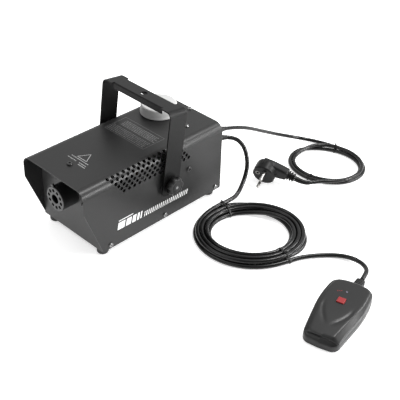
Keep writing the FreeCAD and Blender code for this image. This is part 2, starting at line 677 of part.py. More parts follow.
def above_back(drop):
    """Everything above the remote's curved back, lowered by a distance."""
    start, middle, end = [V(u, -50, z - drop) for u, z in BACK_ARC]
    arc = Part.Arc(start, middle, end).toShape()
    high = [end, V(end.x, -50, 60), V(start.x, -50, 60), start]
    sides = [Part.LineSegment(p, q).toShape() for p, q in zip(high, high[1:])]
    return Part.Face(Part.Wire([arc] + sides)).extrude(V(0, 100, 0))


def cord_slot():
    return rod(V(50, RELIEF_V, CORD_Z), X, 4.0, 40)


def remote_lower_shell():
    shell = remote_profile(0).extrude(V(0, 0, REMOTE_SEAM))
    shell = shell.makeFillet(2.5, [e for e in shell.Edges if e.BoundBox.ZMax < 0.1])
    cavity = remote_profile(REMOTE_WALL).extrude(V(0, 0, REMOTE_SEAM))
    shell = shell.cut(cavity.translated(V(0, 0, REMOTE_WALL)))
    for u, v in REMOTE_POSTS:
        shell = shell.fuse(rod(V(u, v, 1), Z, 3.2, REMOTE_SEAM - 1))
        shell = shell.cut(rod(V(u, v, -1), Z, 1.6, 20)).cut(rod(V(u, v, -1), Z, 2.8, 3))
    return placed(shell.cut(cord_slot()).removeSplitter())


def thumb_groove(side):
    """Round-bottomed groove that sweeps in towards the middle line."""
    points = [V(5, side * 21, 24.6), V(-16, side * 15, 23.6), V(-35, side * 4, 21.7)]
    path = Part.Wire(Part.Arc(*points).toShape())
    edge = path.Edges[0]
    profile = Part.Wire(Part.makeCircle(1.9, points[0], edge.tangentAt(edge.FirstParameter)))
    return path.makePipeShell([profile], True, False)


def remote_upper_shell():
    """Upper half with a curved back, a stepped foot, thumb grooves and openings for button and lamp."""
    block = remote_profile(0.25).extrude(V(0, 0, REMOTE_TOP - REMOTE_SEAM))
    block.translate(V(0, 0, REMOTE_SEAM))
    block = block.cut(above_back(0))
    block = block.makeFillet(4.5, [e for e in block.Edges if e.BoundBox.ZMin > REMOTE_SEAM + 3])
    foot_slope = [V(-70, -40, 10.5), V(STEP_U, -40, STEP_Z - 1.0), V(STEP_U, -40, 40), V(-70, -40, 40)]
    block = block.cut(prism(foot_slope, V(0, 80, 0)))
    cavity = remote_profile(REMOTE_WALL + 2.5).extrude(V(0, 0, REMOTE_TOP))
    cavity = cavity.cut(above_back(2.2)).common(box((STEP_U + 4, 80), (-40, 40), (0, 40)))
    block = block.cut(cavity)
    for side in (-1, 1):
        block = block.cut(thumb_groove(side))
    gap = BUTTON_HALF + CLEAR
    hole = rounded_box((BUTTON_U - gap, BUTTON_U + gap), (BUTTON_V - gap, BUTTON_V + gap), (8, 40), 1.5)
    block = block.cut(hole).cut(rod(V(LED_U, BUTTON_V, 10), Z, 1.5, 20))
    for (u, v), height in REMOTE_POSTS.items():
        post = rod(V(u, v, REMOTE_SEAM), Z, 3.2, height)
        block = block.fuse(post.cut(rod(V(u, v, REMOTE_SEAM - 1), Z, 1.6, 6.5)))
    return placed(block.cut(cord_slot()).removeSplitter())


def remote_button():
    """Square button with a soft edge, on a stem above the switch."""
    cap = rounded_box((BUTTON_U - BUTTON_HALF, BUTTON_U + BUTTON_HALF),
                      (BUTTON_V - BUTTON_HALF, BUTTON_V + BUTTON_HALF), (17.0, BUTTON_TOP), 1.4)
    cap = cap.makeFillet(0.8, [e for e in cap.Edges if e.BoundBox.ZMin > BUTTON_TOP - 0.1])
    stem = rod(V(BUTTON_U, BUTTON_V, 14.0), Z, 2.5, 3.0)
    return placed(cap.fuse(stem).removeSplitter())


def remote_board():
    """Circuit board with the push switch under the button, on three standoffs."""
    body = box((-4, 40), (-13, 13), (7.0, 8.6))
    body = body.fuse(box((BUTTON_U - 6, BUTTON_U + 6), (BUTTON_V - 6, BUTTON_V + 6), (8.6, 12.0)))
    body = body.fuse(box((-2, 4), (-12, -4), (8.6, 11.0)))
    for u, v in ((0, 8), (0, -8), (33, 8)):
        body = body.fuse(rod(V(u, v, REMOTE_WALL), Z, 2.5, 5.0))
    return placed(body.removeSplitter())


def remote_led():
    return placed(rod(V(LED_U, BUTTON_V, 8.6), Z, 1.45, 15.0))


def remote_screws():
    screws = []
    for u, v in REMOTE_POSTS:
        bolt = rod(V(u, v, 2.0), Z, 1.4, 12.0).fuse(rod(V(u, v, 0.4), Z, 2.6, 1.6))
        screws.append(placed(bolt))
    return group(screws)


def remote_strain_relief():
    """Ribbed sleeve at the remote's end, with a root held between the shells."""
    def along(u, radius, length):
        return rod(V(u, RELIEF_V, CORD_Z), X, radius, length)

    sleeve = along(RELIEF_U - 6, 3.9, 8).fuse(along(RELIEF_U + 1, 6.6, 3.0))
    for i in range(3):
        sleeve = sleeve.fuse(along(RELIEF_U + 4 + 5 * i, 5.2 - 0.3 * i, 5.0))
        sleeve = sleeve.fuse(along(RELIEF_U + 5.4 + 5 * i, 6.4 - 0.4 * i, 2.4))
    return placed(sleeve.removeSplitter())


# ---- plug -----------------------------------------------------------------------------------
PLUG_AT = V(99.3, 185.8, 18.3)  # middle of the face that the pins stand on
PLUG_TURN = -71.0  # degrees from +X to the way the pins point
PLUG_PITCH = 17.7  # degrees that the pins point down, so the face's rim rests on the floor
PLUG_ROLL = -18.0  # degrees about the pins, so the cord side comes down
PLUG_R = 18.8
PLUG_DEPTH = 24.0
PIN_SPACING = 19.0
PIN_LENGTH = 19.0
PIN_ROOT = 10.0  # length of each pin inside the moulding
EARTH_BACK = 10.0  # from the pins to the earth socket, on the side away from the cord
NECK_BACK = 19.5  # from the face to the neck's middle line
NECK_LIFT = 4.0
NECK_END = 34.0
RELIEF_END = 47.0


def plug_placed(shape):
    """Move a shape whose pins point along +X and whose cord leaves along +Y."""
    shape.rotate(V(0, 0, 0), X, PLUG_ROLL)
    shape.rotate(V(0, 0, 0), Y, PLUG_PITCH)
    shape.rotate(V(0, 0, 0), Z, PLUG_TURN)
    shape.translate(PLUG_AT)
    return shape


def plug_body():
    """Moulded angled plug: round head with a rounded back and a tapering neck."""
    head = rod(V(-PLUG_DEPTH, 0, 0), X, PLUG_R, PLUG_DEPTH)
    back = [e for e in head.Edges if e.Curve.TypeId == "Part::GeomCircle" and e.CenterOfMass.x < -1]
    head = head.makeFillet(7.0, back)
    neck = Part.makeCone(12.0, 8.0, NECK_END - 6, V(-NECK_BACK, 6, NECK_LIFT), Y)
    body = head.fuse(neck)
    for side in (-1, 1):
        clip_slot = sorted((side * (PLUG_R - 1.6), side * (PLUG_R + 1)))
        body = body.cut(box((-9, 1), clip_slot, (-3, 3)))
        body = body.cut(rod(V(-PIN_ROOT, 0, side * PIN_SPACING / 2), X, 2.4, PIN_ROOT + 1))
    body = body.cut(rod(V(-8, -EARTH_BACK, 0), X, 2.5, 10))
    return plug_placed(body.removeSplitter())


def plug_contacts():
    """Two round pins and the two side earth clips."""
    pins = []
    for side in (-1, 1):
        pin = rod(V(-PIN_ROOT, 0, side * PIN_SPACING / 2), X, 2.4, PIN_ROOT + PIN_LENGTH)
        tip = [e for e in pin.Edges if e.Curve.TypeId == "Part::GeomCircle" and e.CenterOfMass.x > 1]
        across = sorted((side * (PLUG_R - 1.6), side * (PLUG_R - 0.2)))
        pins.append(plug_placed(pin.makeFillet(1.6, tip)))
        pins.append(plug_placed(box((-9, -0.5), across, (-3, 3))))
    return group(pins)


def plug_strain_relief():
    """Ribbed sleeve between the plug's neck and the cord."""
    at = V(-NECK_BACK, NECK_END, NECK_LIFT)
    sleeve = Part.makeCone(6.2, 4.6, RELIEF_END - NECK_END, at, Y)
    for i in range(3):
        sleeve = sleeve.fuse(rod(at + Y * (1.2 + 4.3 * i), Y, 8.0 - 0.5 * i, 2.4))
    return plug_placed(sleeve.removeSplitter())


# ---- cords ----------------------------------------------------------------------------------
MAINS_COIL = dict(centre=(135, 306, 0), outer=(66.0, 59.0), inner=(53.0, 44.0), turned=25.0, height=13.0)
REMOTE_COIL = dict(centre=(175, 72, 0), outer=(87.0, 81.0), inner=(59.0, 50.0), turned=46.0, height=14.0)
FLOOR_MAINS = MAINS_D / 2 + 0.05
FLOOR_REMOTE = REMOTE_D / 2 + 0.05
CORD_START = REAR + 7
MAINS_LEAD = [
    (GLAND_X, CORD_START, MAINS_Z),
    (GLAND_X, 142, 100),
    (46, 196, 80),
    (42, 240, 54),
    (40, 292, 24),
    (54, 334, 6),
    (84, 352, 4),
]
MAINS_TAIL = [
    (135.66, 221.42, 14.01),
    (145.18, 225.78, 10.78),
    (153.4, 232.4, 8.9),
    (159.7, 242, 9),
    (166.8, 252.8, 9.7),
    (176, 262, 9.4),
]
REMOTE_LEAD = [
    (GLAND_X, CORD_START, REMOTE_Z),
    (48, 140, 86),
    (60, 158, 82),
    (70, 164, 73),
    (78, 165, 61),
    (86, 161, 45),
    (91, 152, 30),
    (96, 138, 18),
    (101, 123, 11.5),
    (102, 109, 10.4),
]
REMOTE_TAIL = [
    (257, 70, FLOOR_REMOTE),
    (262, 84, FLOOR_REMOTE),
    (271, 99, FLOOR_REMOTE),
    (283, 114, FLOOR_REMOTE),
    (297, 127, 4),
    (311, 134.5, 4.5),
    (326, 136, 5.5),
    (339, 132, 7),
    (348.5, 124, 9),
    (353.4, 113, CORD_Z),
    (356.5, 101.4, CORD_Z),
]
MAINS_TIES = [((115, 357, 0), 111.0, 11.0), ((139.5, 252.5, 0), 95.0, 9.0)]
REMOTE_TIES = [((109, 88, 0), 166.0, 25.0), ((247, 67, 0), 172.0, 27.0)]


def tie(at, angle, across, height, width=3.0):
    """Closed twist tie round a bundle: `across` is its radial size, turned by an angle from +X."""
    wrap = box((-across / 2 - 1, across / 2 + 1), (-width / 2, width / 2), (0, height + 1.2))
    wrap = wrap.cut(box((-across / 2, across / 2), (-width, width), (-1, height)))
    twist = rod(V(0, 0, height + 0.8), Z, 1.0, 6)
    band = wrap.fuse(twist)
    band.rotate(V(0, 0, 0), Z, angle)
    band.translate(V(*at))
    return band.removeSplitter()


def build_machine():
    save("hood_cover", hood_cover())
    save("base_chassis", chassis())
    save("hood_screws", group(screw(at, out, **SILVER) for at, out in SIDE_SCREWS + [TOP_REAR_SCREW, TOP_SIDE_SCREW]))
    black = [screw(at, out, **BLACK) for at, out in [TOP_FRONT_SCREW, PUMP_SCREW]]
    black += [screw(at, out, head_r=2.8, head_h=1.8, shank_r=1.5, length=8.0) for at, out in HEATER_SCREWS]
    save("panel_screws", group(black))
    for name, (x, y) in FEET.items():
        save(f"foot_{name}", foot(x, y))
    save("foot_screws", group(foot_screw(x, y) for x, y in FEET.values()))
    save("nozzle_shroud", nozzle_shroud())
    save("steam_nozzle", steam_nozzle())
    save("heater_lower_half", heater_half(HEATER_LOW, NOZZLE_Z))
    save("heater_upper_half", heater_half(NOZZLE_Z, HEATER_HIGH))
    save("heater_bolts", heater_bolts())
    save("heating_element", heating_element())
    save("heater_bracket", heater_bracket())
    save("heater_insulation", heater_insulation())
    save("heater_inlet", heater_inlet())
    save("thermostat", thermostat())
    save("thermal_fuse", thermal_fuse())
    save("pump_body", pump_body())
    save("pump_piston", pump_piston())
    save("pump_coil", pump_coil())
    save("pump_bracket", pump_bracket())
    save("fluid_tank", fluid_tank())
    save("tank_filter", tank_filter())
    save("tank_bracket", tank_bracket())
    save("tank_cap", tank_cap())
    save("cap_liner", cap_liner())
    save("suction_hose", cord_tube("suction_hose", SUCTION, HOSE_D))
    save("delivery_hose", cord_tube("delivery_hose", DELIVERY, HOSE_D))
    save("wiring", group(cord_tube(f"wire {name}", route, WIRE_D) for name, route in WIRES.items()))
    save("terminal_block", terminal_block())
    save("mains_gland", gland(MAINS_Z, MAINS_D / 2 + FIT))
    save("remote_gland", gland(REMOTE_Z, REMOTE_D / 2 + FIT))


def build_bracket():
    save("hanging_bracket", hanging_bracket())
    save("knob_right", knob())
    save("knob_left", mirrored(knob()))
    save("knob_stud_right", knob_stud())
    save("knob_stud_left", mirrored(knob_stud()))
    save("bracket_washers", bracket_washers())
    save("rivet_nuts", rivet_nuts())


def build_remote():
    save("remote_lower_shell", remote_lower_shell())
    save("remote_upper_shell", remote_upper_shell())
    save("remote_button", remote_button())
    save("remote_board", remote_board())
    save("remote_led", remote_led())
    save("remote_screws", remote_screws())
    save("remote_strain_relief", remote_strain_relief())


def build_cords():
    save("plug_body", plug_body())
    save("plug_contacts", plug_contacts())
    save("plug_strain_relief", plug_strain_relief())
    for cord, lead, tail, diameter, hank, ties in (
        ("mains_cord", MAINS_LEAD, MAINS_TAIL, MAINS_D, MAINS_COIL, MAINS_TIES),
        ("remote_cord", REMOTE_LEAD, REMOTE_TAIL, REMOTE_D, REMOTE_COIL, REMOTE_TIES),
    ):
        free = [cord_tube(f"{cord}_lead", lead, diameter), cord_tube(f"{cord}_tail", tail, diameter)]
        bands = [tie(at, angle, across, hank["height"]) for at, angle, across in ties]
        save(f"{cord}_lead", free[0])
        save(f"{cord}_tail", free[1])
        save(f"{cord}_ties", group(bands))
        save(f"{cord}_coil", coil_ring(**hank).cut(group(free + bands)))


build_machine()
build_bracket()
build_remote()
build_cords()
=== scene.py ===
"""Looks of a small stage fog machine with its mains lead and hand remote, built round the CAD frame."""
import json
import math
import random

import bmesh
import bpy
from mathutils import Matrix, Vector


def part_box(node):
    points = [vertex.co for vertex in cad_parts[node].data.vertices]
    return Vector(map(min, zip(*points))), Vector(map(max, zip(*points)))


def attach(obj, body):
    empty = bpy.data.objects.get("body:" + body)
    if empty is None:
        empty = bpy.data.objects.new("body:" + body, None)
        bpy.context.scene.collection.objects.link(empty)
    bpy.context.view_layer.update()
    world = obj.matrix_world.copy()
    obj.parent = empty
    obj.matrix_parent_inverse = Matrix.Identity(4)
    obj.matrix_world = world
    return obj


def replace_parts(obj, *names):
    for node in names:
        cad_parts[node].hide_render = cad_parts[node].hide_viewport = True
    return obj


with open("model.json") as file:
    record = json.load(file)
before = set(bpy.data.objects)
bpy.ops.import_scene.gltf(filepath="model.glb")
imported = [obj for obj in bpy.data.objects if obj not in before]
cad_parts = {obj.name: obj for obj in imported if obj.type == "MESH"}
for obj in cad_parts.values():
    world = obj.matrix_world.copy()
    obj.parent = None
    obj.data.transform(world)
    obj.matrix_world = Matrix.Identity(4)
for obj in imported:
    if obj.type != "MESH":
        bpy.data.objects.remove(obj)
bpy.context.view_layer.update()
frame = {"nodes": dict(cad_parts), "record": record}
NODES = frame["nodes"]
MM = 0.001


# ---- camera and light -----------------------------------------------------------------------
CAMERA_AT = (0.84075, -0.73874, 0.80847)
CAMERA_RIGHT = (0.7109, 0.7028, 0.0277)
CAMERA_BACK = (0.5608, -0.5901, 0.5808)
LENS, SENSOR = 80.17, 36.0  # millimetres
SKY_UP = (-0.42, 0.55, 0.72)  # where the surroundings are brightest
SKY_DIM, SKY_BRIGHT = 0.16, 1.0
FLOOR_HALF = 6.0
FLOOR_DROP = 0.0004


def add_camera():
    data = bpy.data.cameras.new("view_camera")
    data.sensor_width = SENSOR
    data.lens = LENS
    data.clip_end = 50.0
    camera = bpy.data.objects.new("view_camera", data)
    bpy.context.scene.collection.objects.link(camera)
    back = Vector(CAMERA_BACK).normalized()
    up = back.cross(Vector(CAMERA_RIGHT).normalized()).normalized()
    right = up.cross(back).normalized()
    turn = Matrix((right, up, back)).transposed().to_4x4()
    camera.matrix_world = Matrix.Translation(CAMERA_AT) @ turn
    bpy.context.scene.camera = camera


def area_light(name, at, towards, size, watts):
    """Rectangular light at one point, turned towards another."""
    data = bpy.data.lights.new(name, "AREA")
    data.shape = "RECTANGLE"
    data.size, data.size_y = size
    data.energy = watts
    light = bpy.data.objects.new(name, data)
    bpy.context.scene.collection.objects.link(light)
    turn = (Vector(at) - Vector(towards)).to_track_quat("Z", "Y").to_matrix().to_4x4()
    light.matrix_world = Matrix.Translation(at) @ turn


def add_surroundings():
    """White surroundings that fade away from their brightest side."""
    world = bpy.data.worlds.new("studio")
    world.use_nodes = True
    nodes, links = world.node_tree.nodes, world.node_tree.links
    backdrop = nodes["Background"]
    place = nodes.new("ShaderNodeTexCoord")
    facing = nodes.new("ShaderNodeVectorMath")
    facing.operation = "DOT_PRODUCT"
    facing.inputs[1].default_value = Vector(SKY_UP).normalized()
    links.new(place.outputs["Generated"], facing.inputs[0])
    bright = nodes.new("ShaderNodeMapRange")
    bright.interpolation_type = "SMOOTHSTEP"
    bright.inputs["From Min"].default_value = -0.1
    bright.inputs["From Max"].default_value = 0.95
    bright.inputs["To Min"].default_value = SKY_DIM
    bright.inputs["To Max"].default_value = SKY_BRIGHT
    links.new(facing.outputs["Value"], bright.inputs["Value"])
    links.new(bright.outputs["Result"], backdrop.inputs["Strength"])
    backdrop.inputs["Color"].default_value = (1.0, 1.0, 1.0, 1.0)
    bpy.context.scene.world = world
    bpy.context.scene.view_settings.view_transform = "Standard"


def add_lights():
    area_light("key_softbox", (-0.6, -0.9, 1.7), (0.05, 0.0, 0.08), (1.0, 1.0), 9.0)
    area_light("high_strip", (0.36, 0.72, 1.40), (0.065, -0.05, 0.12), (0.22, 0.30), 13.0)
    area_light("low_strip", (1.27, 0.68, 0.50), (0.067, -0.05, 0.11), (0.16, 0.34), 13.0)
    area_light("far_softbox", (0.71, 0.98, 0.62), (0.39, 0.0, 0.02), (0.4, 0.3), 7.0)
    area_light("front_fill", (0.5, -1.8, 0.7), (0.0, 0.0, 0.08), (0.9, 0.6), 3.6)


def add_floor():
    """Pale paper floor, a little under the feet."""
    mesh = bpy.data.meshes.new("studio_floor")
    corners = [(a * FLOOR_HALF, b * FLOOR_HALF, 0) for a, b in ((-1, -1), (1, -1), (1, 1), (-1, 1))]
    mesh.from_pydata(corners, [], [(0, 1, 2, 3)])
    floor = bpy.data.objects.new("studio_floor", mesh)
    bpy.context.scene.collection.objects.link(floor)
    floor.location.z = -FLOOR_DROP
    surface = bpy.data.materials.new("floor_paper")
    surface.use_nodes = True
    shader = surface.node_tree.nodes["Principled BSDF"]
    shader.inputs["Base Color"].default_value = (0.9, 0.9, 0.9, 1.0)
    shader.inputs["Roughness"].default_value = 0.9
    shader.inputs["Specular IOR Level"].default_value = 0.1
    shader.inputs["Emission Color"].default_value = (1.0, 1.0, 1.0, 1.0)
    shader.inputs["Emission Strength"].default_value = 0.55
    mesh.materials.append(surface)


add_camera()
add_surroundings()
add_lights()
add_floor()


# ---- materials ------------------------------------------------------------------------------
def material(name, low, high, rough, metallic=0.0, grain=900.0, bump=0.15, depth=0.03, spread=6.0,
             specular=0.5):
    """Colour that varies between two tones, roughness between two values, and a fine bump."""
    made = bpy.data.materials.new(name)
    made.use_nodes = True
    nodes, links = made.node_tree.nodes, made.node_tree.links
    shader = nodes["Principled BSDF"]
    shader.inputs["Metallic"].default_value = metallic
    shader.inputs["Specular IOR Level"].default_value = specular
    place = nodes.new("ShaderNodeTexCoord")
    broad = nodes.new("ShaderNodeTexNoise")
    broad.inputs["Scale"].default_value = spread
    broad.inputs["Detail"].default_value = 4.0
    links.new(place.outputs["Object"], broad.inputs["Vector"])
    tones = nodes.new("ShaderNodeValToRGB")
    tones.color_ramp.elements[0].position = 0.3
    tones.color_ramp.elements[1].position = 0.7
    tones.color_ramp.elements[0].color = (*low, 1.0)
    tones.color_ramp.elements[1].color = (*high, 1.0)
    links.new(broad.outputs["Fac"], tones.inputs["Fac"])
    links.new(tones.outputs["Color"], shader.inputs["Base Color"])
    fine = nodes.new("ShaderNodeTexNoise")
    fine.inputs["Scale"].default_value = grain
    fine.inputs["Detail"].default_value = 2.0
    links.new(place.outputs["Object"], fine.inputs["Vector"])
    gloss = nodes.new("ShaderNodeMapRange")
    gloss.inputs["To Min"].default_value = rough[0]
    gloss.inputs["To Max"].default_value = rough[1]
    links.new(fine.outputs["Fac"], gloss.inputs["Value"])
    links.new(gloss.outputs["Result"], shader.inputs["Roughness"])
    relief = nodes.new("ShaderNodeBump")
    relief.inputs["Strength"].default_value = bump
    relief.inputs["Distance"].default_value = depth * MM
    links.new(fine.outputs["Fac"], relief.inputs["Height"])
    links.new(relief.outputs["Normal"], shader.inputs["Normal"])
    return made


def grey(value):
    return (value, value, value)


POWDER = material("black_powder_coat", grey(0.007), grey(0.011), (0.33, 0.44), grain=1400, bump=0.22,
                  depth=0.04, specular=0.36)
TRAY = material("grey_powder_coat", grey(0.022), grey(0.032), (0.38, 0.5), grain=1400, bump=0.25, depth=0.04)
ZINC = material("zinc_plate", grey(0.20), grey(0.34), (0.25, 0.42), metallic=1.0, grain=2500, bump=0.1)
OXIDE = material("black_oxide", grey(0.012), grey(0.03), (0.25, 0.45), grain=2500, bump=0.1)
RUBBER = material("foot_rubber", grey(0.012), grey(0.02), (0.55, 0.75), grain=2500, bump=0.3)
BRASS = material("turned_brass", (0.60, 0.42, 0.16), (0.76, 0.57, 0.27), (0.2, 0.4), metallic=1.0)
CAST = material("cast_aluminium", grey(0.10), grey(0.16), (0.5, 0.7), metallic=1.0, grain=700, bump=0.5,
                depth=0.1)
STEEL = material("galvanised_sheet", grey(0.36), grey(0.58), (0.3, 0.5), metallic=1.0, spread=60.0)
FELT = material("fibre_mat", grey(0.02), grey(0.035), (0.85, 1.0), grain=1800, bump=0.8, depth=0.3)
BRACKET = material("bracket_powder_coat", grey(0.002), grey(0.004), (0.34, 0.46), grain=1400, bump=0.22,
                   depth=0.04, specular=0.18)
MOULDED = material("black_moulding", grey(0.004), grey(0.007), (0.30, 0.44), grain=2600, bump=0.2,
                   specular=0.3)
NYLON = material("natural_nylon", (0.5, 0.49, 0.45), (0.6, 0.59, 0.55), (0.4, 0.6))
TANK = material("blown_polyethylene", (0.72, 0.72, 0.68), (0.84, 0.84, 0.8), (0.35, 0.5), spread=30.0)
CAP = material("cap_moulding", (0.47, 0.47, 0.465), (0.52, 0.52, 0.515), (0.5, 0.65), grain=1800, bump=0.2,
               spread=40.0)
HOSE = material("silicone_hose", grey(0.55), grey(0.66), (0.35, 0.5))
SHEATH = material("cord_sheath", grey(0.002), grey(0.004), (0.22, 0.3), grain=1500, bump=0.03, depth=0.01,
                  spread=30.0, specular=0.3)
SHELL = material("remote_texture", grey(0.005), grey(0.008), (0.3, 0.42), grain=3200, bump=0.3,
                 specular=0.34)
RED = material("red_moulding", (0.20, 0.012, 0.014), (0.28, 0.02, 0.022), (0.3, 0.42), grain=2600, bump=0.1,
               specular=0.3)
BOARD = material("circuit_board", (0.03, 0.16, 0.06), (0.05, 0.24, 0.1), (0.35, 0.5), spread=200.0)
LAMP = material("tinted_lamp", (0.10, 0.09, 0.12), (0.14, 0.13, 0.17), (0.1, 0.2))
PLUG = material("plug_moulding", grey(0.003), grey(0.005), (0.34, 0.46), grain=1900, bump=0.2, depth=0.04,
                specular=0.17)
NICKEL = material("nickel_plate", (0.24, 0.235, 0.225), (0.33, 0.32, 0.31), (0.22, 0.34), metallic=1.0,
                  bump=0.05)
TIE = material("tie_ribbon", grey(0.003), grey(0.006), (0.3, 0.45), grain=1200, specular=0.25)
WHITE_INK = material("white_ink", grey(0.74), grey(0.82), (0.5, 0.65), grain=2500, bump=0.05)
GREY_INK = material("grey_ink", grey(0.10), grey(0.17), (0.5, 0.65), grain=2500, bump=0.05)
PALE_INK = material("pale_ink", grey(0.30), grey(0.42), (0.5, 0.65), grain=2500, bump=0.05)


def nozzle_material_with_painted_shade():
    """Grey face, and a near-black can that is painted shade from the hood's overhang: the tone follows the
    distance from the face.
    """
    made = material("nozzle_metal", grey(0.045), grey(0.075), (0.36, 0.5), grain=1300, bump=0.3, depth=0.05)
    nodes, links = made.node_tree.nodes, made.node_tree.links
    shader = nodes["Principled BSDF"]
    place = nodes.new("ShaderNodeTexCoord")
    split = nodes.new("ShaderNodeSeparateXYZ")
    links.new(place.outputs["Object"], split.inputs["Vector"])
    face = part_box("nozzle_shroud")[0].y
    # mask from the lit face back onto the can, where the painted shade begins
    band = nodes.new("ShaderNodeMapRange")
    band.inputs["From Min"].default_value = face + 0.6 * MM
    band.inputs["From Max"].default_value = face + 1.6 * MM
    links.new(split.outputs["Y"], band.inputs["Value"])
    painted_shade_mix = nodes.new("ShaderNodeMix")
    painted_shade_mix.data_type = "RGBA"
    tones = next(n for n in nodes if n.type == "VALTORGB")
    links.new(band.outputs["Result"], painted_shade_mix.inputs["Factor"])
    links.new(tones.outputs["Color"], painted_shade_mix.inputs[6])
    # painted shade: near-black on the nozzle's side under the hood
    painted_shade_mix.inputs[7].default_value = (0.004, 0.004, 0.004, 1.0)
    links.new(painted_shade_mix.outputs[2], shader.inputs["Base Color"])
    return made


SLOTS = {
    "black_powder_coat": POWDER,
    "grey_powder_coat": TRAY,
    "zinc_screw": ZINC,
    "black_screw": OXIDE,
    "foot_rubber": RUBBER,
    "nozzle_metal": nozzle_material_with_painted_shade(),
    "brass": BRASS,
    "cast_aluminium": CAST,
    "plain_steel": STEEL,
    "fibre_mat": FELT,
    "black_plastic": MOULDED,
    "pump_plastic": NYLON,
    "tank_plastic": TANK,
    "cap_plastic": CAP,
    "hose": HOSE,
    "cord_rubber": SHEATH,
    "remote_plastic": SHELL,
    "red_plastic": RED,
    "board": BOARD,
    "lamp": LAMP,
    "plug_rubber": PLUG,
    "nickel": NICKEL,
    "tie_plastic": TIE,
}


def give(node, surface):
    mesh = NODES[node].data
    mesh.materials.clear()
    mesh.materials.append(surface)


for subpart in frame["record"]["subparts"]:
    give(subpart["node"], SLOTS[subpart["material_slot"]])
give("hanging_bracket", BRACKET)


# ---- helpers for pieces ---------------------------------------------------------------------
def piece(name, mesh, surface, body, smooth=True, angle=40.0):
    """Object for a mesh, with its material, slot and body."""
    made = bpy.data.objects.new(name, mesh)
    bpy.context.scene.collection.objects.link(made)
    mesh.materials.append(surface)
    if smooth:
        mesh.shade_smooth()
        mesh.set_sharp_from_angle(angle=math.radians(angle))
    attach(made, body)
    return made


def mesh_from(name, points, faces):
    mesh = bpy.data.meshes.new(name)
    mesh.from_pydata([tuple(p) for p in points], [], faces)
    work = bmesh.new()
    work.from_mesh(mesh)
    bmesh.ops.remove_doubles(work, verts=work.verts, dist=1e-7)
    bmesh.ops.recalc_face_normals(work, faces=work.faces)
    work.to_mesh(mesh)
    work.free()
    return mesh


def rings(loops, close_ends=True):
    """Points and faces of a tube through loops of equal length."""
    count = len(loops[0])
    points = [p for loop in loops for p in loop]
    faces = []
    for i in range(len(loops) - 1):
        for j in range(count):
            k = (j + 1) % count
            faces.append((i * count + j, i * count + k, (i + 1) * count + k, (i + 1) * count + j))
    if close_ends:
        faces.append(tuple(range(count)))
        faces.append(tuple(range((len(loops) - 1) * count, len(loops) * count)))
    return points, faces


def solid_piece(name, shape, surface, body="machine", angle=40.0):
    """Piece made from points and faces."""
    return piece(name, mesh_from(name, *shape), surface, body, angle=angle)


def joined(parts):
    """Points and faces of several parts as one."""
    points, faces = [], []
    for more, extra in parts:
        faces += [tuple(len(points) + k for k in f) for f in extra]
        points += more
    return points, faces


def circle(radius, count):
    turns = [2 * math.pi * k / count for k in range(count)]
    return [(radius * math.cos(turn), radius * math.sin(turn)) for turn in turns]


def sweep(route, outline, ups, closed=False):
    """Loops of an outline (list of (across, up)) carried along a route, turned to the given ups."""
    loops = []
    count = len(route)
    for i, at in enumerate(route):
        before = route[(i - 1) % count] if closed or i else route[i]
        after = route[(i + 1) % count] if closed or i < count - 1 else route[i]
        along = (after - before).normalized()
        side = along.cross(ups[i]).normalized()
        lift = side.cross(along).normalized()
        loops.append([at + side * a + lift * b for a, b in outline])
    if closed:
        loops.append(loops[0])
    return loops


def polyline(curve):
    """Points that a NURBS curve really passes, in the frame."""
    level, fill = curve.data.bevel_depth, curve.data.use_fill_caps
    curve.data.bevel_depth = 0.0
    curve.data.use_fill_caps = False
    bpy.context.view_layer.update()
    bare = bpy.data.meshes.new_from_object(curve.evaluated_get(bpy.context.evaluated_depsgraph_get()))
    points = [v.co.copy() for v in bare.vertices]
    bpy.data.meshes.remove(bare)
    curve.data.bevel_depth = level
    curve.data.use_fill_caps = fill
    return points


# ---- cords ----------------------------------------------------------------------------------
MAINS_D, REMOTE_D = 6.2, 6.8
POINTS_PER_TURN = 16
OFF_FLOOR = 0.05
SECOND_LAYER = 0.87  # height, in diameters, of a strand that lies in the groove between two others
MAINS_LEAD = [
    (46, 127, 101.5), (46, 142, 100), (46, 196, 80), (42, 240, 54), (40, 292, 24), (54, 334, 6), (84, 352, 4),
]
MAINS_TAIL = [
    (176, 262, 9.4), (166.8, 252.8, 9.7), (159.7, 242, 9), (153.4, 232.4, 8.9), (145.18, 225.78, 10.78),
    (135.66, 221.42, 14.01),
]
REMOTE_LEAD = [
    (46, 127, 86.5), (48, 140, 86), (60, 158, 82), (70, 164, 73), (78, 165, 61), (86, 161, 45), (91, 152, 30),
    (96, 138, 18), (101, 123, 11.5), (102, 109, 10.4),
]
REMOTE_TAIL = [
    (257, 70, 3.45), (262, 84, 3.45), (271, 99, 3.45), (283, 114, 3.45), (297, 127, 4), (311, 134.5, 4.5),
    (326, 136, 5.5), (339, 132, 7), (348.5, 124, 9), (353.4, 113, 10.5), (356.5, 101.4, 10.5),
]


def between(keys, s):
    """Piecewise smooth value from keys of (place, value, value)."""
    for (s0, *v0), (s1, *v1) in zip(keys, keys[1:]):
        if s <= s1:
            f = max(0.0, (s - s0) / (s1 - s0))
            f = f * f * (3 - 2 * f)
            return [a + (b - a) * f for a, b in zip(v0, v1)]
    return keys[-1][1:]


def hump(at, low, high):
    """0 outside a stretch of angle and 1 in its middle."""
    if not low < at < high:
        return 0.0
    return math.sin(math.pi * (at - low) / (high - low)) ** 2


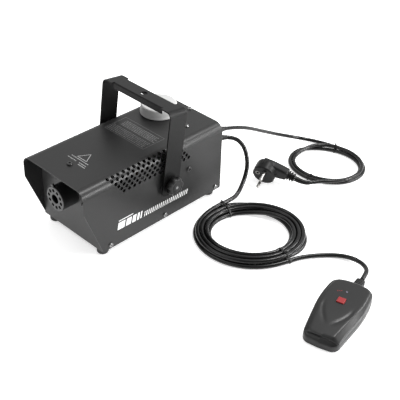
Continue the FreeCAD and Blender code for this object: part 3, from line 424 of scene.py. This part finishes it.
class Coil:
    """Turns that lie in numbered places of a stacked ring, and change places once a turn.

    inner holds the half widths of the innermost turn, step how much they grow for each place outwards, and
    turned the angle of the ring's long axis. The turns start at an angle and go on for sweep degrees, and the
    moves from place to place begin change degrees in and take width degrees each.
    """

    def __init__(self, centre, inner, step, turned, diameter, sense, start, sweep, change, width):
        self.centre, self.inner, self.step, self.turned = centre, inner, step, math.radians(turned)
        self.diameter, self.sense, self.start, self.sweep = diameter, sense, start, sweep
        self.change, self.width = change, width

    def point(self, angle, across, up):
        a = self.inner[0] + self.step[0] * across
        b = self.inner[1] + self.step[1] * across
        u, v = a * math.cos(math.radians(angle)), b * math.sin(math.radians(angle))
        x = u * math.cos(self.turned) - v * math.sin(self.turned)
        y = u * math.sin(self.turned) + v * math.cos(self.turned)
        return (self.centre[0] + x, self.centre[1] + y, self.diameter / 2 + OFF_FLOOR + up * self.diameter)

    def turns(self, places, moves, wander):
        """Control points of all the turns, one place per turn, with the moves between them."""
        count = round(self.sweep / 360 * POINTS_PER_TURN)
        points = []
        for i in range(1, count):
            gone = self.sweep * i / count
            angle = self.start + self.sense * gone
            since = gone - self.change
            turn = max(0, math.floor(since / 360) + 1) if since > 0 else 0
            lap = min(turn, len(places) - 1)
            inside = since - 360 * (turn - 1) if since > 0 else None
            if inside is not None and inside < self.width and lap > 0:
                across, up = between(moves[lap - 1], inside / self.width)
            else:
                across, up = places[lap]
            across += wander(lap, angle, gone)
            points.append(self.point(angle, across, up))
        return points


def straight_move(a, b, rise=0.0):
    middle = [(p + q) / 2 for p, q in zip(a, b)]
    return [(0.0, *a), (0.5, middle[0], middle[1] + rise), (1.0, *b)]


def mains_turns():
    """Two and a half turns: one outside, one inside, the rest on top between them."""
    coil = Coil(centre=(135, 306), inner=(56.1, 47.6), step=(6.3, 6.9), turned=25.0, diameter=MAINS_D,
                sense=-1, start=104.0, sweep=898.0, change=295.0, width=58.0)
    low_in, low_out, high = (0.0, 0.0), (1.0, 0.0), (0.5, SECOND_LAYER)
    moves = [
        [(0.0, 1.0, 0.0), (0.3, 1.0, 0.0), (1.0, 0.0, 0.0)],
        [(0.0, 0.0, 0.0), (0.25, -0.35, 0.5), (0.55, -0.05, 1.12), (1.0, 0.5, 0.88)],
    ]

    def wander(lap, angle, gone):
        start = 1.3 * max(0.0, 1 - gone / 45.0) if lap == 0 else 0.0
        end = 0.9 * max(0.0, 1 - (coil.sweep - gone) / 60.0)
        return start + end + 0.05 * math.sin(math.radians(2 * angle) + 2.1 * lap)

    return coil.turns([low_out, low_in, high], moves, wander)


def remote_turns():
    """Six and a half turns: three in the upper layer going inwards, the rest on the floor going outwards."""
    coil = Coil(centre=(175, 72), inner=(62.6, 53.6), step=(6.95, 7.93), turned=46.0, diameter=REMOTE_D,
                sense=1, start=108.0, sweep=2362.0, change=285.0, width=72.0)
    places = [(2.5, SECOND_LAYER), (1.5, SECOND_LAYER), (0.5, SECOND_LAYER)]
    places += [(0.0, 0.0), (1.0, 0.0), (2.0, 0.0), (3.0, 0.0)]
    moves = [
        straight_move(places[0], places[1], 0.16),
        straight_move(places[1], places[2], 0.16),
        [(0.0, 0.5, 0.87), (0.35, -0.28, 0.8), (0.7, -0.36, 0.3), (1.0, 0.0, 0.0)],
        straight_move(places[3], places[4]),
        straight_move(places[4], places[5]),
        straight_move(places[5], places[6]),
    ]

    def wander(lap, angle, gone):
        at = (angle + 180.0) % 360.0 - 180.0
        shift = 0.07 * math.sin(math.radians(2 * angle) + 1.7 * lap)
        if lap == 5:
            shift += 1.25 * hump(at, -46.0, 14.0) + 1.1 * hump(at, 10.0, 84.0)
        if lap == 0:
            shift += 0.9 * max(0.0, 1 - gone / 30.0)
        if lap == 4:
            shift += 0.25 * hump(at, 10.0, 84.0)
        return shift

    return coil.turns(places, moves, wander)


def nurbs(name, route, diameter):
    """Round cord along a smooth line. Its radius is held by its points, times a bevel depth of one."""
    data = bpy.data.curves.new(name, "CURVE")
    data.dimensions = "3D"
    data.bevel_depth = 1.0
    data.bevel_resolution = 5
    data.resolution_u = 5
    data.use_fill_caps = True
    line = data.splines.new("NURBS")
    line.points.add(len(route) - 1)
    for place, at in zip(line.points, route):
        place.co = (*[c * MM for c in at], 1.0)
        place.radius = diameter / 2 * MM
    line.order_u = 3
    line.use_endpoint_u = True
    made = bpy.data.objects.new(name, data)
    bpy.context.scene.collection.objects.link(made)
    data.materials.append(SHEATH)
    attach(made, "machine")
    return made


mains = nurbs("mains_lead", MAINS_LEAD + mains_turns() + MAINS_TAIL, MAINS_D)
remote = nurbs("remote_lead", REMOTE_LEAD + remote_turns() + REMOTE_TAIL, REMOTE_D)
MAINS_LINE, REMOTE_LINE = polyline(mains), polyline(remote)
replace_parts(mains, "mains_cord_lead", "mains_cord_coil", "mains_cord_tail")
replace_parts(remote, "remote_cord_lead", "remote_cord_coil", "remote_cord_tail")


# ---- ties -----------------------------------------------------------------------------------
TIE_STEPS = 72
TIE_GAP = 0.35
TIE_FLOOR = 0.45  # lowest that the middle of a tie's band lies
BAND_HALF = (1.3, 0.42)
BAND = [(-1, -1), (1, -1), (1.12, 0), (1, 1), (0.3, 1.25), (-0.3, 1.25), (-1, 1), (-1.12, 0)]
END_STEPS = 24
END_RISE, END_WIRE, END_APART = 3.2, 0.75, 0.8


def strands_at(line, centre, across, along, reach):
    """Place across and height of each strand that passes a tie's plane."""
    strands = []
    for p, q in zip(line, line[1:]):
        d0, d1 = (p - centre).dot(along), (q - centre).dot(along)
        if d0 * d1 > 0 or d0 == d1:
            continue
        hit = p.lerp(q, d0 / (d0 - d1))
        if abs((hit - centre).dot(across)) < reach * MM:
            strands.append(((hit - centre).dot(across), hit.z))
    return strands


def wrapped(strands, radius, centre, across):
    """Closed line pulled tight round the strands."""
    outline = []
    for n in circle(1.0, TIE_STEPS):
        best = max(strands, key=lambda s: s[0] * n[0] + s[1] * n[1])
        spot = Vector((best[0] + radius * n[0], 0, max(best[1] + radius * n[1], TIE_FLOOR * MM)))
        outline.append(Vector((centre.x, centre.y, 0)) + across * spot.x + Vector((0, 0, spot.z)))
    return outline


def tie_end(top, across, along, half):
    """One of the two wires of a tie's twisted end."""
    helix = []
    for i in range(END_STEPS + 1):
        turn = math.pi * half + 1.6 * math.pi * i / END_STEPS
        rise = END_RISE * MM * i / END_STEPS
        lean = across * (rise * 0.55 * math.sin(1.1 * i / END_STEPS)) + along * (rise * 0.2)
        wide = END_APART * MM
        helix.append(top + Vector((0, 0, rise * 0.85 - 0.2 * MM)) + lean
                     + across * wide * math.cos(turn) + along * wide * math.sin(turn))
    return rings(sweep(helix, circle(END_WIRE * MM, 8), [along + across * 0.01] * len(helix)))


def tie(name, line, diameter, at, across_deg, reach, node):
    """Twist tie pulled tight round the strands that pass its plane, with a twisted end."""
    across = Vector((math.cos(math.radians(across_deg)), math.sin(math.radians(across_deg)), 0))
    along = Vector((0, 0, 1)).cross(across)
    centre = Vector(at) * MM
    strands = strands_at(line, centre, across, along, reach)
    outline = wrapped(strands, (diameter / 2 + TIE_GAP) * MM, centre, across)
    ups = []
    for i in range(TIE_STEPS):
        tangent = outline[(i + 1) % TIE_STEPS] - outline[i - 1]
        tangent = tangent.normalized() if tangent.length > 1e-9 else across
        ups.append(tangent.cross(along).normalized())
    band = [(BAND_HALF[0] * MM * a, BAND_HALF[1] * MM * b) for a, b in BAND]
    loops = sweep(outline, band, ups, closed=True)
    top = max(outline, key=lambda p: p.z)
    ends = [tie_end(top, across, along, half) for half in (0, 1)]
    made = solid_piece(name, joined([rings(loops, close_ends=False), *ends]), TIE)
    if node:
        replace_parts(made, node)
    return made


mains_ties = [
    tie("mains_tie_far", MAINS_LINE, MAINS_D, (115, 357, 0), 111.0, 20.0, "mains_cord_ties"),
    tie("mains_tie_near", MAINS_LINE, MAINS_D, (139.5, 252.5, 0), 95.0, 20.0, None),
]
remote_ties = [
    tie("remote_tie_left", REMOTE_LINE, REMOTE_D, (109, 88, 0), 166.0, 26.0, "remote_cord_ties"),
    tie("remote_tie_right", REMOTE_LINE, REMOTE_D, (247, 67, 0), 172.0, 26.0, None),
]


# ---- printed marks --------------------------------------------------------------------------
MARK_LOW, MARK_HIGH = 0.02, 0.09  # heights of a mark's two faces over what it is printed on
BLOCK_SIDES = ((0, 1, 2, 3), (4, 5, 6, 7), (0, 1, 5, 4), (1, 2, 6, 5), (2, 3, 7, 6), (3, 0, 4, 7))


def print_marks(name, quads, place, surface):
    """Thin printed quads; `place` turns flat (a, b) millimetres and a height into a point."""
    blocks = []
    for quad in quads:
        spots = [Vector(place(a, b, height)) * MM for height in (MARK_LOW, MARK_HIGH) for a, b in quad]
        blocks.append((spots, BLOCK_SIDES))
    points, faces = joined(blocks)
    return piece(name, mesh_from(name, points, faces), surface, "machine", smooth=False)


def leaning(a, b, wide, high, lean=0.22):
    """Slanted block from its lower left corner."""
    return [(a, b), (a + wide, b), (a + wide + lean * high, b + high), (a + lean * high, b + high)]


def stroke_between(p, q, wide):
    """Straight stroke of a given width."""
    along = Vector(q) - Vector(p)
    off = Vector((-along.y, along.x)).normalized() * wide / 2
    return [tuple(Vector(p) - off), tuple(Vector(q) - off), tuple(Vector(q) + off), tuple(Vector(p) + off)]


HOOD_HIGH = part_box("hood_cover")[1]
HOOD_SIDE, HOOD_TOP = HOOD_HIGH.x / MM, HOOD_HIGH.z / MM


def on_side(a, b, height):
    return (HOOD_SIDE + height, a, b)


def on_top(a, b, height):
    return (a, b, HOOD_TOP + height)


def side_marks():
    """Generic slanted blocks and a row of ticks on the hood's side."""
    quads = []
    start, foot = -92.0, 35.6
    at = start
    for wide in (13.0, 9.5, 6.5, 4.0, 2.2):
        quads.append(leaning(at, foot - 0.02 * (at - start), wide, 11.5))
        at += wide + 2.6
    quads.append(leaning(-89.0, 49.6, 27.0, 1.3))
    start, foot = -41.0, 34.4
    at = start
    for k in range(22):
        wide = 1.1 + 0.75 * abs(math.sin(1.3 * k))
        quads.append(leaning(at, foot - 0.012 * (at - start), wide, 8.4))
        at += wide + 2.5
    return print_marks("side_marks", quads, on_side, WHITE_INK)


def rating_marks():
    """Outline and rows of plain dashes on the hood's top."""
    chance = random.Random(11)
    x0, x1, y0, y1 = -46.5, 37.5, -15.4, 27.0
    corners = [(x0, y0), (x1, y0), (x1, y1), (x0, y1)]
    quads = [stroke_between(p, q, 0.45) for p, q in zip(corners, corners[1:] + corners[:1])]
    low_rows, high_rows = [-12.6, -9.2, -5.9, -2.6, 0.6], [7.4, 10.6, 13.7, 16.9, 20.1]
    for y in low_rows + high_rows:
        x = x0 + (2.0 if y in low_rows else 9.0)
        end = x1 - chance.uniform(2.0, 9.0)
        while x < end:
            wide = min(chance.uniform(0.8, 4.6), end - x + 0.6)
            quads.append(leaning(x, y + chance.uniform(-0.1, 0.1), wide, chance.uniform(0.95, 1.5), 0.0))
            x += wide + chance.uniform(0.5, 1.1)
    return print_marks("rating_marks", quads, on_top, GREY_INK)


def notice_marks():
    """Plain triangle outline and four rows of dashes near the hood's front."""
    chance = random.Random(5)
    corners = [(-11.6, -95.2), (-1.8, -78.6), (7.9, -95.0)]
    quads = [stroke_between(p, q, 0.9) for p, q in zip(corners, corners[1:] + corners[:1])]
    for x0, x1, y in ((-20.0, 15.5, -99.2), (-21.4, -3.5, -104.8), (2.5, 17.5, -104.4), (4.5, 17.0, -108.2)):
        x = x0
        while x < x1:
            wide = chance.uniform(0.9, 3.4)
            quads.append(leaning(x, y, wide, 1.2, 0.0))
            x += wide + chance.uniform(0.5, 0.9)
    return print_marks("notice_marks", quads, on_top, PALE_INK)


side_marks()
rating_marks()
notice_marks()


# ---- knobs ----------------------------------------------------------------------------------
# distance from the knob's inner face, radius, and depth of the hollows between the lobes
KNOB_PROFILE = [
    (0.1, 9.0, 0.0), (2.2, 9.6, 0.0), (2.8, 12.6, 0.9), (3.4, 14.0, 1.9), (4.4, 14.7, 2.3), (7.6, 14.9, 2.4),
    (9.8, 14.5, 2.3), (10.9, 13.7, 1.9), (11.5, 12.3, 1.3), (11.75, 10.4, 0.5), (11.45, 9.2, 0.0),
    (11.4, 8.2, 0.0), (11.9, 7.2, 0.0), (12.15, 5.0, 0.0), (12.2, 2.6, 0.0),
]
RIVET_PROFILE = [(12.0, 2.3), (12.25, 2.2), (12.38, 1.5), (12.42, 0.6)]


def lobed(radius, depth, count=98, lobes=7):
    """Outline of a star grip with soft lobes."""
    spots = []
    for i in range(count):
        turn = 2 * math.pi * i / count
        r = radius - depth * (0.5 - 0.5 * math.cos(lobes * turn)) ** 1.6
        spots.append((r * math.cos(turn), r * math.sin(turn)))
    return spots


def knob(name, side):
    """Star grip and its rivet on one side of the machine."""
    low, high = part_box(f"knob_{name}")
    centre = (low + high) / 2
    inner = (low.x if side > 0 else high.x) / MM
    loops = []
    for x, radius, depth in KNOB_PROFILE:
        at = inner + side * x
        spots = lobed(radius, depth)
        loops.append([Vector((at, centre.y / MM + a, centre.z / MM + b)) * MM for a, b in spots])
    made = solid_piece(f"knob_grip_{name}", rings(loops), MOULDED, f"{name}_knob", 50.0)
    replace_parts(made, f"knob_{name}")
    loops = [[Vector((inner + side * x, centre.y / MM + a, centre.z / MM + b)) * MM for a, b in circle(r, 24)]
             for x, r in RIVET_PROFILE]
    solid_piece(f"knob_rivet_{name}", rings(loops), ZINC, f"{name}_knob")


knob("right", 1)
knob("left", -1)


# ---- plug -----------------------------------------------------------------------------------
PLUG_AT = Vector((99.3, 185.8, 18.3))
PLUG_TURN = (Matrix.Rotation(math.radians(-71.0), 3, "Z") @ Matrix.Rotation(math.radians(17.7), 3, "Y")
             @ Matrix.Rotation(math.radians(-18.0), 3, "X"))
PIN_HALF = 9.5  # from the face's middle to each pin
EARTH_BACK = 10.0  # from the face's middle to the earth socket, away from the cord
CORD_X, CORD_Z = -19.5, 4.0  # where the cord's axis leaves the plug
FACE_PROFILE = [
    (-24.4, 10.5), (-23.8, 13.0), (-21.9, 16.2), (-19.4, 18.2), (-15.0, 18.7), (-1.2, 18.9), (0.0, 18.2),
]
# grip sections: distance along the cord, middle across, half width, middle height, half height
GRIP_SECTIONS = [
    (-10.0, -15.2, 8.4, 2.0, 15.2), (-2.0, -16.0, 8.4, 2.6, 15.6), (8.0, -17.2, 8.2, 3.0, 14.6),
    (18.0, -18.4, 8.0, 3.4, 12.6), (27.0, -19.2, 7.8, 3.8, 10.6), (32.0, CORD_X, 7.6, CORD_Z, 9.6),
    (34.4, CORD_X, 6.4, CORD_Z, 8.2),
]
PLUG_VOXEL = 0.75
PLUG_SMOOTHING = 6
SQUARENESS = 4.5


def from_plug(x, y, z):
    """Point of the frame for a point of the plug: pins along +X, cord along +Y."""
    return (PLUG_AT + PLUG_TURN @ Vector((x, y, z))) * MM


def soft_square(half_a, half_b, count=48):
    """Outline between an ellipse and a rectangle."""
    spots = []
    for c, s in circle(1.0, count):
        a = half_a * math.copysign(abs(c) ** (2 / SQUARENESS), c)
        b = half_b * math.copysign(abs(s) ** (2 / SQUARENESS), s)
        spots.append((a, b))
    return spots


def remeshed(name, parts):
    """One smooth closed mesh round several overlapping closed ones."""
    points, faces = joined(parts)
    rough = bpy.data.objects.new(name, mesh_from(name, points, faces))
    bpy.context.scene.collection.objects.link(rough)
    voxels = rough.modifiers.new("voxels", "REMESH")
    voxels.mode = "VOXEL"
    voxels.voxel_size = PLUG_VOXEL * MM
    smooth = rough.modifiers.new("smooth", "SMOOTH")
    smooth.factor, smooth.iterations = 0.5, PLUG_SMOOTHING
    bpy.context.view_layer.update()
    made = bpy.data.meshes.new_from_object(rough.evaluated_get(bpy.context.evaluated_depsgraph_get()))
    bpy.data.objects.remove(rough)
    made.name = name
    return made


def plug_moulding():
    """Round face and flat grip as one moulding."""
    face_loops = [[from_plug(x, a, b) for a, b in circle(r, 64)] for x, r in FACE_PROFILE]
    grip_loops = [[from_plug(x + a, y, z + b) for a, b in soft_square(wide, high)]
                  for y, x, wide, z, high in GRIP_SECTIONS]
    return remeshed("plug_moulding", [rings(face_loops), rings(grip_loops)])


def cut_out(mesh, name, shapes):
    """Mesh with closed shapes taken away, and no material left on it."""
    work = bmesh.new()
    work.from_mesh(mesh)
    bmesh.ops.recalc_face_normals(work, faces=work.faces)
    work.to_mesh(mesh)
    work.free()
    body = bpy.data.objects.new(name, mesh)
    bpy.context.scene.collection.objects.link(body)
    tools = []
    for i, (points, faces) in enumerate(shapes):
        tool = bpy.data.objects.new(f"{name}_tool_{i}", mesh_from(f"{name}_tool_{i}", points, faces))
        bpy.context.scene.collection.objects.link(tool)
        step = body.modifiers.new(f"cut_{i}", "BOOLEAN")
        step.operation, step.solver, step.object = "DIFFERENCE", "MANIFOLD", tool
        tools.append(tool)
    bpy.context.view_layer.update()
    made = bpy.data.meshes.new_from_object(body.evaluated_get(bpy.context.evaluated_depsgraph_get()))
    made.name = name
    made.materials.clear()
    made.polygons.foreach_set("material_index", [0] * len(made.polygons))
    for used in [body, *tools]:
        spare = used.data
        bpy.data.objects.remove(used)
        bpy.data.meshes.remove(spare)
    return made


def plug_rod(x0, x1, middle, radius):
    y, z = middle
    return rings([[from_plug(x, y + a, z + b) for a, b in circle(radius, 24)] for x in (x0, x1)])


def plug_box(x0, x1, y0, y1, z0, z1):
    corners = ((y0, z0), (y1, z0), (y1, z1), (y0, z1))
    return rings([[from_plug(x, y, z) for y, z in corners] for x in (x0, x1)])


plug_cuts = [plug_rod(-10.0, 2.0, (0.0, side * PIN_HALF), 2.42) for side in (-1, 1)]
plug_cuts.append(plug_rod(-8.0, 2.0, (-EARTH_BACK, 0.0), 2.6))
plug_cuts += [plug_box(-9.1, 2.0, *sorted((side * 17.1, side * 22)), -3.1, 3.1) for side in (-1, 1)]
plug_mesh = cut_out(plug_moulding(), "plug_moulding", plug_cuts)
plug = piece("plug_moulding", plug_mesh, PLUG, "machine", angle=35.0)
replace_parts(plug, "plug_body")


def plug_rings():
    """Thick rings with gaps between them, where the cord leaves the plug."""
    profile = [(33.4, 5.4), (34.6, 5.6)]
    for start, radius, root in ((34.8, 8.0, 5.4), (39.1, 7.5, 5.1), (43.4, 7.0, 4.8)):
        profile += [(start, radius - 0.5), (start + 0.35, radius), (start + 2.45, radius),
                    (start + 2.8, radius - 0.5), (start + 2.9, root), (start + 3.5, root)]
    loops = [[from_plug(CORD_X + a, y, CORD_Z + b) for a, b in circle(r, 40)] for y, r in profile]
    return solid_piece("plug_rings", rings(loops), PLUG, angle=30.0)


plug_ring_piece = plug_rings()
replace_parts(plug_ring_piece, "plug_strain_relief")


def plug_socket_liner():
    """Metal lining of the earth socket in the plug's face."""
    section = [(-0.3, 2.55), (0.12, 2.55), (0.12, 3.6), (-0.3, 3.6)]
    loops = [[from_plug(x, -EARTH_BACK + a, b) for a, b in circle(r, 32)] for x, r in section]
    return solid_piece("plug_socket_liner", rings(loops + loops[:1], close_ends=False), NICKEL)


# ---- remote's upper shell -------------------------------------------------------------------
REMOTE_AT = Vector((375.4, 20.2, 0.0))
REMOTE_TURN = math.radians(104.8)
REMOTE_SEAM = 9.0
REMOTE_CORNERS = [
    (65, 0), (58, 29.5), (18, 33.7), (-60, 24.5), (-62, 0), (-60, -24.5), (18, -33.7), (58, -29.5),
]
REMOTE_RADII = [60, 17, 240, 12, 90, 12, 240, 17]
STEP_U = -55.0  # the back drops to a low foot beyond this
BUTTON_U, LAMP_U, MARKS_V = 13.0, 33.0, 1.3
BUTTON_HALF, BUTTON_GAP = 5.5, 0.35
LAMP_HALF = 1.6
REMOTE_CORD_V = -2.5
SHELL_WALL = 1.5
RIM_INSET = 0.26
ROWS, COLUMNS = 84, 64


def from_remote(u, v, z):
    c, s = math.cos(REMOTE_TURN), math.sin(REMOTE_TURN)
    return (REMOTE_AT + Vector((c * u - s * v, s * u + c * v, z))) * MM


def rounded_corners(corners, radii, per_corner=16):
    """Outline of a polygon whose corners are arcs."""
    spots = []
    for i, corner in enumerate(corners):
        at = Vector(corner)
        before = (Vector(corners[i - 1]) - at).normalized()
        after = (Vector(corners[(i + 1) % len(corners)]) - at).normalized()
        half = before.angle(after) / 2
        middle = (before + after).normalized()
        centre = at + middle * (radii[i] / math.sin(half))
        start = at + before * (radii[i] / math.tan(half)) - centre
        end = at + after * (radii[i] / math.tan(half)) - centre
        sweep_angle = start.angle_signed(end)
        for k in range(per_corner + 1):
            turn = -sweep_angle * k / per_corner
            c, s = math.cos(turn), math.sin(turn)
            spots.append(centre + Vector((start.x * c - start.y * s, start.x * s + start.y * c)))
    return spots


def along_keys(keys, x):
    for (x0, y0), (x1, y1) in zip(keys, keys[1:]):
        if x <= x1:
            return y0 + (y1 - y0) * max(0.0, (x - x0) / (x1 - x0))
    return keys[-1][1]


def back_height(u):
    """The back's long curve, highest above the button."""
    return 23.55 - 0.00058 * max(0.0, u - 12.0) ** 2 - 0.00122 * max(0.0, 12.0 - u) ** 2


def edge_drop(d, facet, width):
    """How far the shell lies under its back at a distance from its outline."""
    rounded = along_keys([(0.0, 6.6), (0.25, 5.4), (0.7, 4.2), (1.4, 3.2), (2.4, 2.5), (width - 1.0, 1.15),
                          (width, 0.55), (width + 1.2, 0.12), (width + 3.0, 0.0)], d)
    flat = along_keys([(0.0, 6.6), (0.25, 5.8), (0.9, 4.9), (width, 0.35), (width + 0.9, 0.06),
                       (width + 2.0, 0.0)], d)
    return rounded + (flat - rounded) * facet


GROOVE = [(6.0, 20.5), (-6.0, 19.2), (-17.0, 15.2), (-26.0, 9.8), (-34.0, 3.6)]
GROOVES = [[(u, side * v) for u, v in GROOVE] for side in (-1, 1)]
GROOVE_DEEP, GROOVE_WIDE, GROOVE_REACH = 0.75, 2.3, 6.5


def from_segment(at, p, q):
    """Share along a straight stretch of the point nearest to `at`, and the distance to it."""
    along = q - p
    share = max(0.0, min(1.0, (at - p).dot(along) / along.length_squared))
    return share, (at - (p + along * share)).length


def groove_depth(u, v):
    """Depth of the two shallow grooves that run out towards the foot."""
    best = 0.0
    for line in GROOVES:
        for i, (p, q) in enumerate(zip(line, line[1:])):
            t, away = from_segment(Vector((u, v)), Vector(p), Vector(q))
            if away < GROOVE_REACH:
                share = (i + t) / (len(line) - 1)
                fade = min(1.0, 3.2 * share + 0.1) * min(1.0, 3.2 * (1 - share) + 0.1)
                best = max(best, GROOVE_DEEP * fade * math.exp(-(away / GROOVE_WIDE) ** 2))
    return best


def half_width(edges, u, side):
    """How far the outline reaches to one side at a place along the remote."""
    best = 0.0
    for p, q in edges:
        if (p.x - u) * (q.x - u) <= 0 and p.x != q.x:
            v = p.y + (q.y - p.y) * (u - p.x) / (q.x - p.x)
            best = max(best, v * side)
    return best


def rim_distance(edges, u, v):
    return min(from_segment(Vector((u, v)), p, q)[1] for p, q in edges)


def back_at(edges, u, v, foot):
    """Height of the shell's outer face."""
    away = rim_distance(edges, u, v)
    tail = min(1.0, max(0.0, (22.0 - u) / 74.0))
    facet = min(1.0, max(0.0, (30.0 - u) / 26.0)) if v < 0 else 0.0
    width = 4.6 + 4.4 * tail if v < 0 else 5.6 + 0.8 * tail
    z = back_height(u) - edge_drop(away, facet, width) - groove_depth(u, v)
    if foot:
        slope = 14.6 + (u - STEP_U) * 0.29
        z = min(z - 1.2, slope - along_keys([(0.0, 2.6), (0.5, 1.5), (1.5, 0.6), (3.0, 0.0)], away))
    return max(z, REMOTE_SEAM + 0.5)


def shell_rows(edges):
    """Rows of points over the back, closest near its two ends, with two rows at the step."""
    low_u = min(p.x for p, q in edges) + 0.27
    high_u = max(p.x for p, q in edges) - 0.27
    places = []
    for i in range(ROWS + 1):
        u = (low_u + high_u) / 2 - (high_u - low_u) / 2 * math.cos(math.pi * i / ROWS)
        places.append((u, u < STEP_U))
    places = [spot for spot in places if abs(spot[0] - STEP_U) > 0.35]
    places += [(STEP_U - 0.05, True), (STEP_U + 0.05, False)]
    places.sort()
    columns = [math.sin(math.pi / 2 * (-1 + 2 * k / COLUMNS)) for k in range(COLUMNS + 1)]
    rows = []
    for u, foot in places:
        left, right = half_width(edges, u, -1) - RIM_INSET, half_width(edges, u, 1) - RIM_INSET
        middle, half = (right - left) / 2, max(0.2, (right + left) / 2)
        rows.append([(u, middle + half * c, back_at(edges, u, middle + half * c, foot)) for c in columns])
    return rows


def shell_sheet(rows):
    """Sheet over the rows, with a wall from its rim down to the seam."""
    wide, last = len(rows[0]), len(rows) - 1
    points = [from_remote(*p) for row in rows for p in row]
    faces = [(i * wide + j, i * wide + j + 1, (i + 1) * wide + j + 1, (i + 1) * wide + j)
             for i in range(last) for j in range(wide - 1)]
    rim = list(range(wide)) + [i * wide + wide - 1 for i in range(1, last + 1)]
    rim += [last * wide + j for j in range(wide - 2, -1, -1)] + [i * wide for i in range(last - 1, 0, -1)]
    first, size = len(points), len(rim)
    points += [Vector((points[k].x, points[k].y, REMOTE_SEAM * MM)) for k in rim]
    faces += [(rim[k], rim[(k + 1) % size], first + (k + 1) % size, first + k) for k in range(size)]
    sheet = mesh_from("remote_skin", points, faces)
    if max(sheet.polygons, key=lambda f: f.center.z).normal.z < 0:
        sheet.flip_normals()
    return sheet


def remote_shell():
    """Upper half of the remote's case, open at the seam."""
    outline = rounded_corners(REMOTE_CORNERS, REMOTE_RADII)
    edges = [(p, q) for p, q in zip(outline, outline[1:] + outline[:1]) if (q - p).length > 1e-6]
    skin = bpy.data.objects.new("remote_skin", shell_sheet(shell_rows(edges)))
    bpy.context.scene.collection.objects.link(skin)
    thick = skin.modifiers.new("thickness", "SOLIDIFY")
    thick.thickness, thick.offset = SHELL_WALL * MM, -1.0
    bpy.context.view_layer.update()
    made = bpy.data.meshes.new_from_object(skin.evaluated_get(bpy.context.evaluated_depsgraph_get()))
    bpy.data.objects.remove(skin)
    for spot in made.vertices:
        spot.co.z = max(spot.co.z, REMOTE_SEAM * MM)
    return made


def remote_tool(u, half, radius):
    """Upright rounded block through the back, as points and faces."""
    corners = [(u + half, MARKS_V + half), (u - half, MARKS_V + half), (u - half, MARKS_V - half),
               (u + half, MARKS_V - half)]
    spots = rounded_corners(corners, [radius] * 4, 5)
    return rings([[from_remote(p.x, p.y, z) for p in spots] for z in (12.0, 40.0)])


remote_cuts = [remote_tool(BUTTON_U, BUTTON_HALF + BUTTON_GAP, 1.5), remote_tool(LAMP_U, LAMP_HALF, 1.55)]
remote_cuts.append(rings([[from_remote(u, REMOTE_CORD_V + a, 10.5 + b) for a, b in circle(4.2, 28)]
                          for u in (50.0, 80.0)]))
shell_mesh = cut_out(remote_shell(), "remote_back", remote_cuts)
shell = piece("remote_back", shell_mesh, SHELL, "machine", angle=32.0)
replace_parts(shell, "remote_upper_shell")


def remote_block():
    """Ribbed block that holds the cord where it leaves the remote."""
    loops = []
    steps = 34
    for i in range(steps + 1):
        u = 60.5 + 18.5 * i / steps
        taper = 1.0 - 0.16 * max(0.0, (u - 66.0) / 13.0)
        rib = 0.9 * (0.5 - 0.5 * math.cos(2 * math.pi * (u - 65.6) / 3.3)) if u > 65.6 else 0.9
        half = (6.5 + rib) * taper * (0.6 if u > 78.8 else 1.0)
        section = soft_square(half, half * 0.80, 40)
        loops.append([from_remote(u, REMOTE_CORD_V + a, 10.6 + b) for a, b in section])
    return solid_piece("remote_cord_block", rings(loops), MOULDED, angle=45.0)


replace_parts(remote_block(), "remote_strain_relief")


def remote_marks():
    """Three short plain dashes beside the lamp."""
    def place(a, b, height):
        at = from_remote(a, b, back_height(a) + height) / MM
        return (at.x, at.y, at.z)

    dashes = [leaning(28.5 + 1.5 * k, 12.0 - 2.2 * k, 1.0, 1.7, 0.2) for k in range(3)]
    print_marks("remote_marks_red", dashes, place, RED)


remote_marks()


# ---- strain reliefs -------------------------------------------------------------------------
def along_line(line, start, reach, step):
    """Points every `step` along a line of points, from one distance to another."""
    points, gone, want = [], 0.0, start
    for p, q in zip(line, line[1:]):
        size = (q - p).length
        while size > 0 and want <= gone + size and want <= start + reach + 1e-9:
            points.append(p.lerp(q, (want - gone) / size))
            want += step
        gone += size
    return points


def sleeve(name, line, start, reach, radii, surface):
    """Moulded sleeve along a cord, with its radius given along its length."""
    route = along_line(line, start * MM, reach * MM, reach / (len(radii) - 1) * MM)
    loops = []
    for i, at in enumerate(route):
        tangent = (route[min(i + 1, len(route) - 1)] - route[max(i - 1, 0)]).normalized()
        side = tangent.cross(Vector((0, 0, 1))).normalized()
        lift = side.cross(tangent).normalized()
        loops.append([at + (side * a + lift * b) * (radii[i] * MM) for a, b in circle(1.0, 28)])
    return solid_piece(name, rings(loops), surface, angle=38.0)


def tapering(count, first, last):
    return [first + (last - first) * i / (count - 1) for i in range(count)]


def ribbed(count, first, last, swell):
    """Radii of a tapering sleeve whose first part carries rounded ribs, one every eight steps."""
    radii = []
    for i, base in enumerate(tapering(count, first, last)):
        rib = swell * (0.5 - 0.5 * math.cos(2 * math.pi * i / 8)) ** 0.6 if i < count * 0.72 else 0.0
        radii.append(base + rib * (1 - 0.5 * i / count))
    return radii


sleeve("mains_relief", MAINS_LINE, 0.3, 24.0, ribbed(49, 4.4, 3.35, 0.7), MOULDED)
sleeve("remote_relief", REMOTE_LINE, 0.3, 20.0, ribbed(41, 4.6, 3.65, 0.6), MOULDED)
backwards = MAINS_LINE[::-1]
plug_relief = sleeve("plug_relief", backwards, 0.0, 24.0, tapering(49, 4.6, 3.35), PLUG)
liner = plug_socket_liner()
